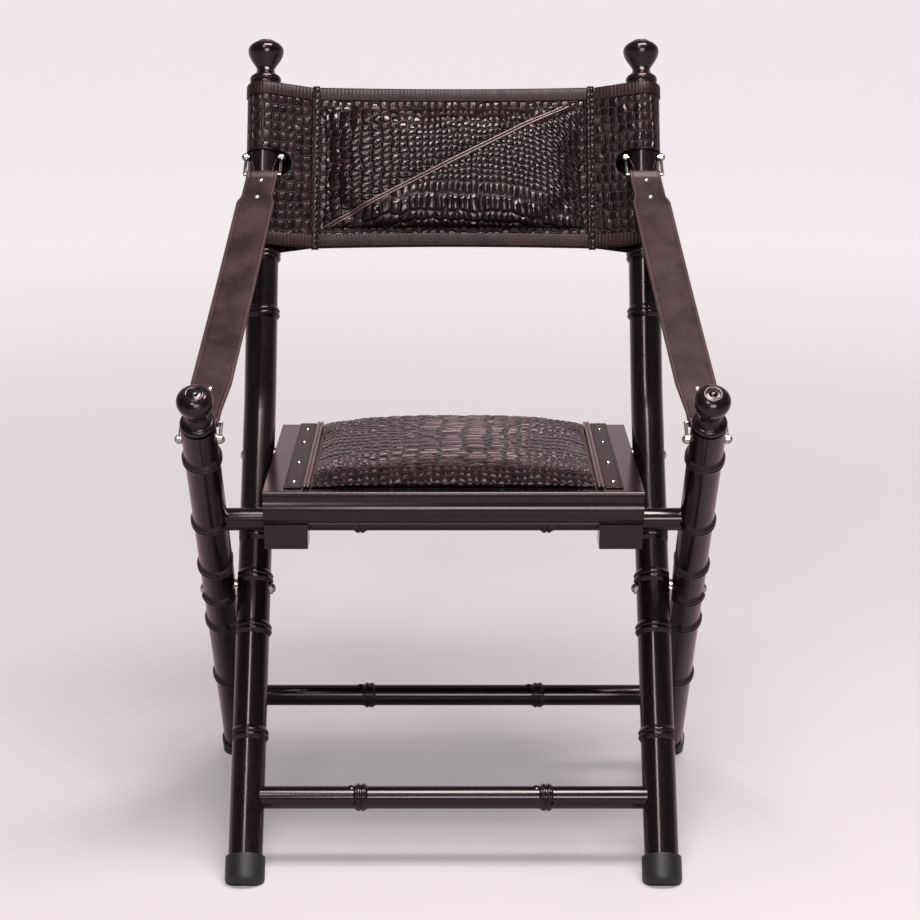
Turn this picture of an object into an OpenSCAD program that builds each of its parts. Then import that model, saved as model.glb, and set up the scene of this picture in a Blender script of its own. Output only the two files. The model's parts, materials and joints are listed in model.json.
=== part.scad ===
// Folding campaign armchair with turned bamboo-pattern posts, a leather back sling,
// two leather arm straps and a hinged, padded seat.
// The sitter's front is -Y, up is +Z and the floor is z = 0. The chair is symmetric about x = 0.
// Left means the -X side and right the +X side, as seen by someone facing the chair.

/* [Frame] */
// Half the distance between the centre lines of the two back posts
back_half = 236; // [200:1:260]
// Diameter of the turned posts
post_d = 39; // [34:0.5:42]
// Gap between a back post and the arm post that crosses it
post_gap = 1.6; // [1.2:0.1:3]
// Depth planed off each post where the two cross
mate_flat = 0.5; // [0.3:0.1:1]
// Height of the pivot bolts above the floor
pivot_h = 287; // [270:1:300]
// Lean of the back post below its bend, in degrees from upright
back_lean = 35.5; // [33:0.5:37]
// Lean of the back post above its bend, in degrees from upright
back_top_lean = 25.5; // [22:0.5:30]
// Lean of the arm post, in degrees from upright
arm_lean = 39.4; // [38:0.2:41]
// Distance from the pivot to the bend along the back post
bend_up = 246; // [225:1:280]
// Radius of the bend on the post's centre line
bend_r = 260; // [150:5:320]
// Length of the back post above the pivot
back_up = 651; // [630:1:700]
// Length of the arm post above the pivot
arm_up = 313; // [308:1:330]

/* [Rods] */
// Diameter of the stretchers and the crossbar
rod_d = 26; // [20:0.5:28]
// Height of the front stretcher above the floor, along the front leg
front_rod_up = 99.5; // [80:0.5:130]
// Height of the rear stretcher above the floor, along the rear leg
rear_rod_up = 131.4; // [110:0.1:150]
// Distance of the crossbar above the pivot, along the arm post
crossbar_up = 140; // [136:1:144]
// Diameter of the tenons on the rods
tenon_d = 16; // [10:0.5:18]
// Length of the tenons inside the posts
tenon_l = 10; // [6:0.5:13]
// Distance of the two rod rings from the middle
rod_ring_x = 106; // [70:1:130]

/* [Bamboo rings] */
// Width of a ring along its post
ring_w = 16; // [12:0.5:20]
// Height of a ring above the wood round it
ring_h = 3; // [1:0.1:3.2]

/* [Finials] */
// Radius of the back post knobs
back_knob_r = 22.3; // [18:0.1:26]
// Radius of the arm post knobs
arm_knob_r = 20; // [17:0.1:23]
// Radius of the collar under a knob
collar_r = 19.6; // [16:0.1:22]
// Radius of the neck of a finial
neck_r = 11.1; // [8:0.1:13]
// Height of a finial above its post
finial_h = 56; // [48:0.5:62]
// Diameter of a finial's dowel
dowel_d = 12; // [8:0.5:14]

/* [Feet] */
// Wall of the rubber foot caps
foot_wall = 3.1; // [2:0.1:5]
// Length of a foot cap above the floor, along the leg
foot_up = 31; // [29:0.5:40]
// Rounding of the lower edge of a foot cap
foot_round = 10; // [4:0.5:14]

/* [Back sling] */
// Height of the sling along the posts
sling_h = 211; // [180:1:220]
// Distance of the sling's upper edge below the tops of the back posts
sling_down = 5; // [3:0.5:12]
// Thickness of the sleeve leather
sleeve_t = 2.2; // [1.5:0.1:3]
// Distance from a back post's centre line to the sling's upright seam
seam_in = 59; // [45:1:80]
// Width of the sling's upright seams
seam_w = 11; // [6:0.5:16]
// Thickness of the sling panel between the seams
panel_t = 5; // [3:0.5:8]
// Dip of the sling's upper and lower edges at the middle
sling_waist = 4; // [0:0.5:14]
// Height of the sling's bound edges
binding_w = 16; // [8:0.5:18]
// Depth of the padding on the front of the sling
back_pad_t = 15; // [6:0.5:20]

/* [Straps] */
// Width of an arm strap
strap_w = 46; // [42:0.5:50]
// Gap between an arm strap's end and the legs of its shackle
strap_side_gap = 1; // [0.5:0.1:3]
// Thickness of an arm strap
strap_t = 4.6; // [3:0.2:5]
// Distance of the upper strap pin below the top of the back post
back_pin_down = 99; // [85:1:125]
// Distance of the lower strap pin below the top of the arm post
arm_pin_down = 24; // [20:0.5:40]
// Diameter of the shackle wire
wire_d = 4; // [3:0.2:5]
// Length of the upper shackles from pin to bar
back_shackle_l = 36; // [36:0.5:42]
// Length of the lower shackles from pin to bar
arm_shackle_l = 27; // [27:0.5:34]
// Diameter of the strap pins
pin_d = 5; // [4:0.2:6]

/* [Seat] */
// Gap between a side rail and the back post, filled by the hinge washer
seat_gap = 4.5; // [3:0.1:12]
// Width of a seat side rail
rail_w = 41; // [38:0.5:46]
// Height of the side rails
side_rail_h = 41; // [36:0.5:44]
// Height of the seat frame's upper surface above the hinge bolts
seat_over_hinge = 17.6; // [14:0.1:22]
// Distance of the seat's front edge ahead of the pivot
seat_fore = 153; // [150:1:165]
// Distance of the seat's rear edge behind the pivot
seat_aft = 189; // [175:1:196]
// Distance of the seat hinge above the pivot, along the back post
hinge_up = 170; // [166:1:174]
// Height of the front and rear rails
rail_h = 31; // [26:0.5:32]
// Depth of the front and rear rails from front to back
cross_rail_d = 52; // [35:1:54]
// Height of the seat cushion's crown above the rails
seat_crown = 26; // [15:0.5:34]
// Depth of the notch blocks below the side rails
block_h = 28; // [24:0.5:34]
// Thickness of a notch block's inner cheek
cheek_t = 8; // [5:0.5:12]
// Radius of the dome nails
nail_r = 3.6; // [2.5:0.1:5]

/* [Fasteners] */
// Diameter of the pivot bolts and seat hinge bolts
bolt_d = 8; // [6:0.5:10]
// Radius of a bolt's head
head_r = 8; // [7:0.1:9]
// Depth of the flats that the bolt heads and nuts sit on
spot_depth = 2; // [1:0.1:3]

/* [Hidden] */

// Colours
lacquer = "#15110f";
croc = "#1d1513";
hide = "#2c2220";
rubber = "#221f1e";
nickel = "#b8b2ab";
ply = "#3a2a1e";

// Fits: running for what turns, snug for what is fixed, rest for what only lies on its seat
run_fit = 0.08;
snug_fit = 0.03;
rest_gap = 0.3;
// The bend is this much thinner than the straight lengths that it joins
bend_ease = 0.02;

post_r = post_d / 2;
foot_r = post_r + foot_wall;
rod_r = rod_d / 2;
bolt_r = bolt_d / 2;
pin_r = pin_d / 2;
wire_r = wire_d / 2;
arm_half = back_half + post_d + post_gap;
back_pin_up = back_up - back_pin_down;
arm_pin_up = arm_up - arm_pin_down;
// The pivot lies ahead of the origin, which is under the middle of the whole chair
pivot_y = -56.6;
bend_y = pivot_y + bend_up * sin(back_lean);
bend_z = pivot_h + bend_up * cos(back_lean);
bend = back_lean - back_top_lean;
bend_tangent = bend_r * tan(bend / 2);
back_leg = pivot_h / cos(back_lean);
arm_leg = pivot_h / cos(arm_lean);
front_rod_at = front_rod_up - back_leg;
rear_rod_at = rear_rod_up - arm_leg;
// Ring places along the posts, measured from the pivot; the highest lies just under the sling
back_rings = [back_up - sling_down - sling_h - ring_w / 2 - 2, 352, 64, 12, -52, -180];
arm_rings = [arm_pin_up - 32, crossbar_up, 53, -4, -61, -183];
// How far above the floor, along the leg, a post ends inside its foot cap
leg_stop = 20;
foot_below = 4;
big = 900;

function back_point(s) = s <= bend_up
    ? [pivot_y + s * sin(back_lean), pivot_h + s * cos(back_lean)]
    : [bend_y + (s - bend_up) * sin(back_top_lean), bend_z + (s - bend_up) * cos(back_top_lean)];
function arm_point(s) = [pivot_y - s * sin(arm_lean), pivot_h + s * cos(arm_lean)];

hinge = back_point(hinge_up);
seat_half = back_half - post_r - seat_gap;

// The upper strap pin lies a little ahead of the post's centre line, so that the bar clears the post
back_pin_fore = 6;
back_pin = back_point(back_pin_up) + back_pin_fore * [-cos(back_top_lean), sin(back_top_lean)];
arm_pin = arm_point(arm_pin_up);
strap_run = arm_pin - back_pin;
strap_angle = atan2(strap_run[1], strap_run[0]) + 360;
strap_dir = strap_run / norm(strap_run);
back_bar = back_pin + back_shackle_l * strap_dir;
arm_bar = arm_pin - arm_shackle_l * strap_dir;
strap_l = norm(arm_bar - back_bar);
leg_x = post_r + 0.5 + wire_r;
strap_end_w = 2 * (leg_x - wire_r - strap_side_gap);
loop_hole_r = wire_r + 1.4;
loop_r = loop_hole_r + strap_t / 2;
// The taut strap draws its loops against the bars, so the loops' centres lie this far inside them
loop_play = loop_hole_r - wire_r - 0.05;
eye_over = 0.3;
head_x = leg_x + wire_r + eye_over + 0.2;

// Places children on the centre line of the right back post, with +Z along the post
module at_back(s) {
    if (s <= bend_up)
        translate([back_half, pivot_y, pivot_h]) rotate([-back_lean, 0, 0]) translate([0, 0, s]) children();
    else
        translate([back_half, bend_y, bend_z]) rotate([-back_top_lean, 0, 0])
            translate([0, 0, s - bend_up]) children();
}

// Places children on the centre line of the right arm post, with +Z along the post
module at_arm(s) {
    translate([arm_half, pivot_y, pivot_h]) rotate([arm_lean, 0, 0]) translate([0, 0, s]) children();
}

module left_side() {
    mirror([1, 0, 0]) children();
}

module both_sides() {
    children();
    mirror([1, 0, 0]) children();
}

// Cylinder along X, centred
module across(r, l) {
    rotate([0, 90, 0]) cylinder(r = r, h = l, center = true, $fn = 64);
}

// Cylinder along X from x = 0
module outward(r, l) {
    rotate([0, 90, 0]) cylinder(r = r, h = l, $fn = 64);
}

// Shallow dome on a disc, standing on z = 0
module dome(r, h) {
    ball_r = (r * r + h * h) / (2 * h);
    rotate_extrude($fn = 64) intersection() {
        translate([0, h - ball_r]) circle(r = ball_r, $fn = 96);
        square([r, h]);
    }
}

// Bamboo ring: two beads on a low band with sloped flanks, centred on z = 0
module ring(r) {
    bead = ring_w * 0.17;
    rotate_extrude($fn = 96) {
        polygon([
            [r - 2, -ring_w / 2], [r, -ring_w / 2], [r + ring_h * 0.6, -ring_w * 0.34],
            [r + ring_h * 0.6, ring_w * 0.34], [r, ring_w / 2], [r - 2, ring_w / 2]
        ]);
        for (side = [-1, 1])
            translate([r + ring_h - bead, side * bead]) circle(r = bead, $fn = 32);
    }
}

// Half space above the floor
module above_floor() {
    translate([-big, -big, 0]) cube([2 * big, 2 * big, 2 * big]);
}

// Turned knob profile: neck, flare and flattened ball, from the neck upwards
function knob_width(t, knob_r) =
    let (wide = finial_h * 0.77, low = finial_h * 0.34)
    t < low ? neck_r + (collar_r * 0.85 - neck_r) * pow(1 - (t - 9) / (low - 9), 2.4)
    : t < wide ? neck_r + (knob_r - neck_r) * pow(sin(90 * (t - low) / (wide - low)), 1.25)
    : knob_r * sqrt(max(0, 1 - pow((t - wide) / (finial_h - wide), 2)));

// Finial standing on z = 0 with its dowel below
module finial(knob_r) {
    collar_bead = 4.8;
    steps = 30;
    color(lacquer) {
        rotate_extrude($fn = 96) {
            square([collar_r - collar_bead, 2 * collar_bead]);
            translate([collar_r - collar_bead, collar_bead]) circle(r = collar_bead, $fn = 48);
            polygon(concat(
                [[0, 9]],
                [for (i = [0:steps]) let (t = 9 + (finial_h - 9) * i / steps) [knob_width(t, knob_r), t]]
            ));
        }
        translate([0, 0, -dowel_l]) cylinder(d = dowel_d, h = dowel_l + 1, $fn = 48);
        rotate_extrude($fn = 64) translate([knob_r * 0.46, finial_h - 2.4]) circle(r = 2, $fn = 32);
        translate([0, 0, finial_h - 1]) dome(knob_r * 0.26, 2.2);
    }
}
dowel_l = 18;

// Rubber cap round the lower end of a leg, with its socket, in the leg's own frame
module foot_cap(leg) {
    foot_l = foot_up + foot_below;
    translate([0, 0, -leg - foot_below]) difference() {
        rotate_extrude($fn = 96) {
            square([foot_r - foot_round, foot_l]);
            translate([0, foot_round]) square([foot_r, foot_l - foot_round - 1.5]);
            translate([0, foot_l - 1.6]) square([foot_r - 1.5, 1.6]);
            translate([foot_r - foot_round, foot_round]) circle(r = foot_round, $fn = 64);
            translate([foot_r - 1.5, foot_l - 1.5]) circle(r = 1.5, $fn = 32);
        }
        translate([0, 0, foot_below + leg_stop]) cylinder(r = post_r + snug_fit, h = foot_l, $fn = 96);
    }
}

// Flat for a bolt head or nut on the side of a post; side is 1 outside and -1 inside
module spot_face(side, r) {
    translate([side * (post_r - spot_depth), 0, 0]) rotate([0, 90 * side, 0])
        cylinder(r = r, h = 20, $fn = 64);
}

module back_post_right() {
    flat_l = 400;
    color(lacquer) difference() {
        union() {
            at_back(-back_leg + leg_stop)
                cylinder(r = post_r, h = back_leg - leg_stop + bend_up - bend_tangent, $fn = 96);
            at_back(bend_up - bend_tangent) translate([0, -bend_r, 0]) rotate([90, 0, 90])
                rotate_extrude(angle = bend, $fn = 360) translate([bend_r, 0])
                    circle(r = post_r - bend_ease, $fn = 96);
            at_back(bend_up + bend_tangent)
                cylinder(r = post_r, h = back_up - bend_up - bend_tangent, $fn = 96);
            for (s = back_rings) at_back(s) ring(post_r);
        }
        at_back(0) translate([post_r - mate_flat, -big / 4, -flat_l / 2]) cube([20, big / 2, flat_l]);
        at_back(0) across(bolt_r + snug_fit, 60);
        at_back(0) spot_face(-1, head_r + 1);
        at_back(front_rod_at) translate([-post_r - 5, 0, 0])
            outward(tenon_d / 2 + snug_fit, tenon_l + 5 + rest_gap);
        at_back(hinge_up) across(bolt_r + snug_fit, 60);
        at_back(hinge_up) spot_face(1, head_r + 0.5);
        at_back(back_pin_up) translate([0, -back_pin_fore, 0]) across(pin_r + snug_fit, 60);
        at_back(back_up - dowel_l - 1) cylinder(d = dowel_d + 2 * snug_fit, h = dowel_l + 5, $fn = 48);
    }
}
module back_post_left() left_side() back_post_right();

module back_finial_right() at_back(back_up) finial(back_knob_r);
module back_finial_left() left_side() back_finial_right();

module front_foot_right() {
    color(rubber) intersection() {
        at_back(0) foot_cap(back_leg);
        above_floor();
    }
}
module front_foot_left() left_side() front_foot_right();

// A low bud stands beside each ring of a rod
bud_r = 7;
bud_w = 6;
bud_rise = 1.6;

// Rod across the chair between two posts of one pair, with its shoulders cut to the round posts
module rod(half) {
    reach = half - post_r + tenon_l;
    color(lacquer) {
        difference() {
            union() {
                across(rod_r, 2 * half);
                for (side = [-1, 1]) translate([side * rod_ring_x, 0, 0]) {
                    rotate([0, 90, 0]) ring(rod_r);
                    translate([-ring_w / 2 - bud_w / 2, 0, bud_rise + rod_r - bud_r])
                        sphere(r = bud_r, $fn = 64);
                }
            }
            children();
        }
        across(tenon_d / 2, 2 * reach);
    }
}

// Blank of a post pair, used to cut the rod shoulders
module post_blank(half, lean) {
    for (side = [-1, 1])
        translate([side * half, 0, 0]) rotate([lean, 0, 0])
            cylinder(r = post_r + snug_fit, h = 120, center = true, $fn = 96);
}

module front_stretcher() {
    p = back_point(front_rod_at);
    translate([0, p[0], p[1]]) rod(back_half) post_blank(back_half, -back_lean);
}

module rear_stretcher() {
    p = arm_point(rear_rod_at);
    translate([0, p[0], p[1]]) rod(arm_half) post_blank(arm_half, arm_lean);
}

// The crossbar enters its posts at a ring, so its shoulders stop at the ring
module crossbar() {
    p = arm_point(crossbar_up);
    translate([0, p[0], p[1]]) rod(arm_half) {
        post_blank(arm_half, arm_lean);
        for (side = [-1, 1]) translate([side * arm_half, 0, 0]) rotate([arm_lean, 0, 0])
            cylinder(r = post_r + ring_h + snug_fit, h = ring_w + 0.2, center = true, $fn = 96);
    }
}

module arm_post_right() {
    flat_l = 250;
    color(lacquer) difference() {
        union() {
            at_arm(-arm_leg + leg_stop) cylinder(r = post_r, h = arm_leg - leg_stop + arm_up, $fn = 96);
            for (s = arm_rings) at_arm(s) ring(post_r);
        }
        at_arm(0) translate([-post_r + mate_flat - 20, -big / 4, -flat_l / 2]) cube([20, big / 2, flat_l]);
        at_arm(0) across(bolt_r + run_fit, 60);
        at_arm(0) spot_face(1, head_r + 1);
        for (s = [crossbar_up, rear_rod_at])
            at_arm(s) translate([-post_r - 5, 0, 0]) outward(tenon_d / 2 + snug_fit, tenon_l + 5 + rest_gap);
        at_arm(arm_pin_up) across(pin_r + snug_fit, 60);
        at_arm(arm_up - dowel_l - 1) cylinder(d = dowel_d + 2 * snug_fit, h = dowel_l + 5, $fn = 48);
    }
}
module arm_post_left() left_side() arm_post_right();

module arm_finial_right() at_arm(arm_up) finial(arm_knob_r);
module arm_finial_left() left_side() arm_finial_right();

module rear_foot_right() {
    color(rubber) intersection() {
        at_arm(0) foot_cap(arm_leg);
        above_floor();
    }
}
module rear_foot_left() left_side() rear_foot_right();

// Pivot hardware: a bolt from outside through the arm post, a washer and the back post, and a cap nut
module pivot_bolt_right() {
    head_from = arm_half + post_r - spot_depth + 0.1;
    nut_to = back_half - post_r + spot_depth - 4;
    color(nickel) translate([0, pivot_y, pivot_h]) {
        translate([nut_to, 0, 0]) outward(bolt_r, head_from - nut_to + 0.5);
        translate([head_from, 0, 0]) outward(head_r, 1.5);
        translate([head_from + 1.2, 0, 0]) rotate([0, 90, 0]) dome(head_r - 0.4, 4.5);
    }
}
module pivot_bolt_left() left_side() pivot_bolt_right();

module pivot_nut_right() {
    nut_h = 4.5;
    color(nickel) translate([back_half - post_r + spot_depth - 0.05, pivot_y, pivot_h]) rotate([0, -90, 0])
        difference() {
            union() {
                cylinder(r = head_r - 0.6, h = nut_h, $fn = 6);
                translate([0, 0, nut_h - 0.2]) dome(bolt_r + 1.8, 4);
            }
            translate([0, 0, -1]) cylinder(r = bolt_r + snug_fit, h = 1 + 4.3, $fn = 64);
        }
}
module pivot_nut_left() left_side() pivot_nut_right();

module pivot_washers() {
    washer_from = back_half + post_r - mate_flat + 0.1;
    washer_t = post_gap + 2 * mate_flat - 0.2;
    color(nickel) both_sides() translate([washer_from, pivot_y, pivot_h]) difference() {
        outward(head_r + 3, washer_t);
        translate([-1, 0, 0]) outward(bolt_r + run_fit, washer_t + 2);
    }
}

// Seat hinge: a bolt through the back post whose inner end is the hinge pin in the side rail
pin_in = 30;
module seat_pin_right() {
    head_from = back_half + post_r - spot_depth + 0.05;
    pin_to = seat_half - pin_in;
    color(nickel) translate([0, hinge[0], hinge[1]]) {
        translate([pin_to, 0, 0]) outward(bolt_r, head_from - pin_to + 0.5);
        translate([head_from, 0, 0]) rotate([0, 90, 0]) dome(head_r - 0.5, 4);
    }
}
module seat_pin_left() left_side() seat_pin_right();

module seat_washers() {
    color(nickel) both_sides() translate([seat_half + 0.1, hinge[0], hinge[1]]) difference() {
        outward(head_r + 1, seat_gap - 0.2);
        translate([-1, 0, 0]) outward(bolt_r + run_fit, seat_gap + 2);
    }
}

// Back sling, drawn in the frame of the upper back posts and extruded along them
sling_low = back_up - sling_down - sling_h;
seam_x = back_half - seam_in;
sleeve_r = post_r + 0.3 + sleeve_t;
waist_r = (back_half * back_half + sling_waist * sling_waist) / (2 * max(sling_waist, 0.1));

// Frame of the sling: x across, z along the posts from the lower edge, front towards -y
module at_sling() {
    p = back_point(sling_low);
    translate([0, p[0], p[1]]) rotate([-back_top_lean, 0, 0]) children();
}

// What lies between the drawn-in upper and lower edges, inset by a margin
module sling_outline(inset) {
    room = 3 * post_r;
    difference() {
        translate([-back_half - room, -room, inset])
            cube([2 * (back_half + room), 2 * room, sling_h - 2 * inset]);
        translate([0, 0, sling_h - sling_waist + waist_r - inset]) rotate([90, 0, 0])
            cylinder(r = waist_r, h = 3 * room, center = true, $fn = 720);
        translate([0, 0, sling_waist - waist_r + inset]) rotate([90, 0, 0])
            cylinder(r = waist_r, h = 3 * room, center = true, $fn = 720);
    }
}

// Slot in the front of a sleeve that lets the shackle round the bare post, lower where the strap hangs
slot_r = 17.5;
slot_in = 18;
slot_drop = 7.5;
module shackle_slot() {
    slot_z = back_pin_up - 10.5 - sling_low;
    translate([back_half - slot_in, -40, slot_z]) rotate([-90, 0, 0]) cylinder(r = slot_r, h = 46, $fn = 96);
    slot_low = slot_z - slot_r - slot_drop;
    translate([back_half - slot_in, -40, slot_low]) cube([70, 46, 2 * slot_r + slot_drop]);
}

module sling_leather() {
    color(croc) at_sling() difference() {
        intersection() {
            union() {
                linear_extrude(sling_h) square([2 * seam_x, panel_t], center = true);
                both_sides() linear_extrude(sling_h) {
                    translate([back_half, 0]) circle(r = sleeve_r, $fn = 96);
                    polygon([
                        [back_half - 6, -sleeve_r + 0.9], [back_half - 6, sleeve_r - 0.9],
                        [seam_x - 1, panel_t / 2 - 0.05], [seam_x - 1, -panel_t / 2 + 0.05]
                    ]);
                }
            }
            sling_outline(0);
        }
        both_sides() {
            translate([back_half, 0, -5]) cylinder(r = post_r + 0.3, h = sling_h + 10, $fn = 96);
            shackle_slot();
        }
    }
}

// Bound edges on the front of the panel
band_t = 2.5;
module sling_bindings() {
    color(hide) at_sling() intersection() {
        difference() {
            sling_outline(0);
            sling_outline(binding_w);
        }
        translate([seam_w + 0.1 - seam_x, -panel_t / 2 - band_t, 0])
            cube([2 * (seam_x - seam_w - 0.1), band_t, sling_h]);
    }
}

// Upright seams that close the sleeves
module sling_seams() {
    color(hide) at_sling() both_sides() intersection() {
        sling_outline(0);
        translate([seam_x - seam_w, -panel_t / 2 - band_t, 0]) cube([seam_w - 1.4, band_t, sling_h]);
    }
}

// Height of a crowned form over its base; a and b run from -1 to 1 across it
function lift(a, b, edge, crown) = edge + crown * pow((1 - a * a) * (1 - b * b), 0.5);

// Soft crowned form on a flat base: a grid lifted by its crown, with drawn-in sides
module crowned(half_x, half_y, edge, crown, draw) {
    n = 20;
    m = n + 1;
    function u(i) = 2 * i / n - 1;
    function flat(a, b) = [a * (half_x - draw * (1 - b * b)), b * (half_y - draw * (1 - a * a))];
    function grid_point(a, b, z) = [flat(a, b)[0], flat(a, b)[1], z];
    top = [for (j = [0:n], i = [0:n]) grid_point(u(i), u(j), lift(u(i), u(j), edge, crown))];
    base = [for (j = [0:n], i = [0:n]) grid_point(u(i), u(j), 0)];
    k = m * m;
    function quad(a, b, c, d) = [[a, b, c], [a, c, d]];
    faces = [
        for (j = [0:n - 1], i = [0:n - 1])
            each quad(j * m + i, (j + 1) * m + i, (j + 1) * m + i + 1, j * m + i + 1),
        for (j = [0:n - 1], i = [0:n - 1])
            each quad(k + j * m + i, k + j * m + i + 1, k + (j + 1) * m + i + 1, k + (j + 1) * m + i),
        for (i = [0:n - 1]) each quad(i, i + 1, k + i + 1, k + i),
        for (i = [0:n - 1]) each quad(n * m + i + 1, n * m + i, k + n * m + i, k + n * m + i + 1),
        for (j = [0:n - 1]) each quad((j + 1) * m, j * m, k + j * m, k + (j + 1) * m),
        for (j = [0:n - 1]) each quad(j * m + n, (j + 1) * m + n, k + (j + 1) * m + n, k + j * m + n)
    ];
    polyhedron(points = concat(top, base), faces = faces);
}

// Quilted pad on the front of the sling, inside the bindings and seams
pad_half_x = seam_x - seam_w - 1;
pad_half_z = sling_h / 2 - binding_w - sling_waist - 1;
pad_edge = 2.5;
pad_draw = 3;
module at_pad() at_sling() translate([0, -panel_t / 2 - 0.05, sling_h / 2]) rotate([90, 0, 0]) children();

module sling_pad() {
    color(croc) at_pad() crowned(pad_half_x, pad_half_z, pad_edge, back_pad_t - pad_edge, pad_draw);
}

// Double welt that crosses the pad's crown from its lower left to its upper right corner
welt_from = [-0.9, -0.88];
welt_to = [0.78, 0.9];
welt_w = 3;
welt_h = 1.6;
module welt(shift) {
    n = 28;
    across_dir = [-pad_half_z * (welt_to[1] - welt_from[1]), pad_half_x * (welt_to[0] - welt_from[0])];
    aside = across_dir / norm(across_dir);
    function place(t, w, h) =
        let (
            a = welt_from[0] + t * (welt_to[0] - welt_from[0]),
            b = welt_from[1] + t * (welt_to[1] - welt_from[1]),
            x = a * (pad_half_x - pad_draw * (1 - b * b)) + (shift + w) * aside[0],
            y = b * (pad_half_z - pad_draw * (1 - a * a)) + (shift + w) * aside[1]
        )
        [x, y, lift(x / pad_half_x, y / pad_half_z, pad_edge, back_pad_t - pad_edge) + rest_gap + h];
    section = [
        [-welt_w / 2, 0], [-welt_w / 2, welt_h / 2], [0, welt_h], [welt_w / 2, welt_h / 2], [welt_w / 2, 0]
    ];
    k = len(section);
    points = [for (i = [0:n], c = section) place(i / n, c[0], c[1])];
    walls = [
        for (i = [0:n - 1], j = [0:k - 1])
            let (a = i * k + j, b = i * k + (j + 1) % k)
            each [[a, b, b + k], [a, b + k, a + k]]
    ];
    ends = [
        for (j = [1:k - 2]) [0, j + 1, j],
        for (j = [1:k - 2]) [n * k, n * k + j, n * k + j + 1]
    ];
    polyhedron(points = points, faces = concat(walls, ends));
}

module sling_welts() {
    color(hide) at_pad() for (side = [-1, 1]) welt(side * welt_w * 0.6);
}

// Shackle round a post: two eyes on the pin, two legs and the bar that the strap hangs on.
// Local +Y points from the pin to the bar.
module shackle(l) {
    color(nickel) difference() {
        union() {
            for (side = [-1, 1]) {
                translate([side * leg_x, 0, 0]) {
                    across(pin_r + 2.6, wire_d + 2 * eye_over);
                    rotate([-90, 0, 0]) cylinder(r = wire_r, h = l, $fn = 48);
                }
                translate([side * leg_x, l, 0]) sphere(r = wire_r + eye_over / 2, $fn = 48);
            }
            translate([0, l, 0]) across(wire_r, 2 * leg_x);
        }
        across(pin_r + run_fit, 3 * leg_x);
    }
}

// Pin through a post with domed ends outside the shackle's eyes
module strap_pin() {
    color(nickel) {
        across(pin_r, 2 * head_x + 1);
        for (side = [-1, 1]) translate([side * head_x, 0, 0]) rotate([0, 90 * side, 0]) dome(pin_r + 2, 3.2);
    }
}

module at_back_pin() {
    translate([back_half, back_pin[0], back_pin[1]]) rotate([strap_angle, 0, 0]) children();
}
module at_arm_pin() {
    translate([arm_half, arm_pin[0], arm_pin[1]]) rotate([strap_angle - 180, 0, 0]) children();
}

module back_shackle_right() at_back_pin() shackle(back_shackle_l);
module back_shackle_left() left_side() back_shackle_right();
module arm_shackle_right() at_arm_pin() shackle(arm_shackle_l);
module arm_shackle_left() left_side() arm_shackle_right();
module back_strap_pin_right() at_back_pin() strap_pin();
module back_strap_pin_left() left_side() back_strap_pin_right();
module arm_strap_pin_right() at_arm_pin() strap_pin();
module arm_strap_pin_left() left_side() arm_strap_pin_right();

// Arm strap in its own frame: +Y runs from the upper bar to the lower bar, +Z is its underside
module at_strap() translate([0, back_bar[0], back_bar[1]]) rotate([strap_angle, 0, 0]) children();
function strap_x(v) = back_half + (arm_half - back_half) * v / strap_l;
tab_l = 44;
flare_l = 15;
// Lower end: a shorter tab and a longer taper
arm_tab_l = 20;
taper_l = 45;
back_rivet_v = [0.3 * tab_l, 1.07 * tab_l];
arm_rivet_v = [strap_l - 0.5 * tab_l, strap_l - 1.27 * tab_l];
rivet_r = 2;

module arm_strap_right() {
    function edge(v, w) = [strap_x(v) + w / 2, v];
    half = [
        [3, strap_end_w], [tab_l, strap_end_w], [tab_l + flare_l, strap_w],
        [strap_l - arm_tab_l - taper_l, strap_w],
        [strap_l - arm_tab_l, strap_end_w], [strap_l - 3, strap_end_w]
    ];
    color(hide) at_strap() difference() {
        union() {
            translate([0, 0, -strap_t / 2]) linear_extrude(strap_t) polygon(concat(
                [for (e = half) edge(e[0], e[1])],
                [for (i = [5:-1:0]) edge(half[i][0], -half[i][1])]
            ));
            translate([strap_x(loop_play), loop_play, 0]) across(loop_r, strap_end_w);
            translate([strap_x(strap_l - loop_play), strap_l - loop_play, 0]) across(loop_r, strap_end_w);
        }
        translate([strap_x(loop_play), loop_play, 0]) across(loop_hole_r, 80);
        translate([strap_x(strap_l - loop_play), strap_l - loop_play, 0]) across(loop_hole_r, 80);
        for (v = concat(back_rivet_v, arm_rivet_v))
            translate([strap_x(v), v, 0]) cylinder(r = rivet_r + snug_fit, h = 30, center = true, $fn = 32);
    }
}
module arm_strap_left() left_side() arm_strap_right();

// Rivets that close the strap's end loops, with a dome on each face
module rivet() {
    color(nickel) {
        cylinder(r = rivet_r, h = strap_t + 0.4, center = true, $fn = 32);
        for (side = [-1, 1]) translate([0, 0, side * (strap_t / 2 + 0.05)]) rotate([side < 0 ? 180 : 0, 0, 0])
            dome(rivet_r + 2, 2);
    }
}

module rivets_at(places) both_sides() at_strap() for (v = places) translate([strap_x(v), v, 0]) rivet();
module back_rivets() rivets_at(back_rivet_v);
module arm_rivets() rivets_at(arm_rivet_v);

// Seat. Profiles are drawn in the plane of Y and Z and extruded along X.
seat_y0 = pivot_y - seat_fore;
seat_y1 = pivot_y + seat_aft;
seat_h = hinge[1] + seat_over_hinge;
rail_bottom = seat_h - side_rail_h;
rail_in = seat_half - rail_w;
bar_at = arm_point(crossbar_up);
notch_r = rod_r + rest_gap;
// The front edge of the rails is a thin bead over a full roll, which ends just above the side rail's bottom
bead_r = 3;
roll_step = 0.4;
roll_r = (side_rail_h - 2 * bead_r - roll_step) / 2;
lip_rake = 50;

module profile(x0, width) {
    translate([x0, 0, 0]) rotate([90, 0, 90]) linear_extrude(width) children();
}

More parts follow.
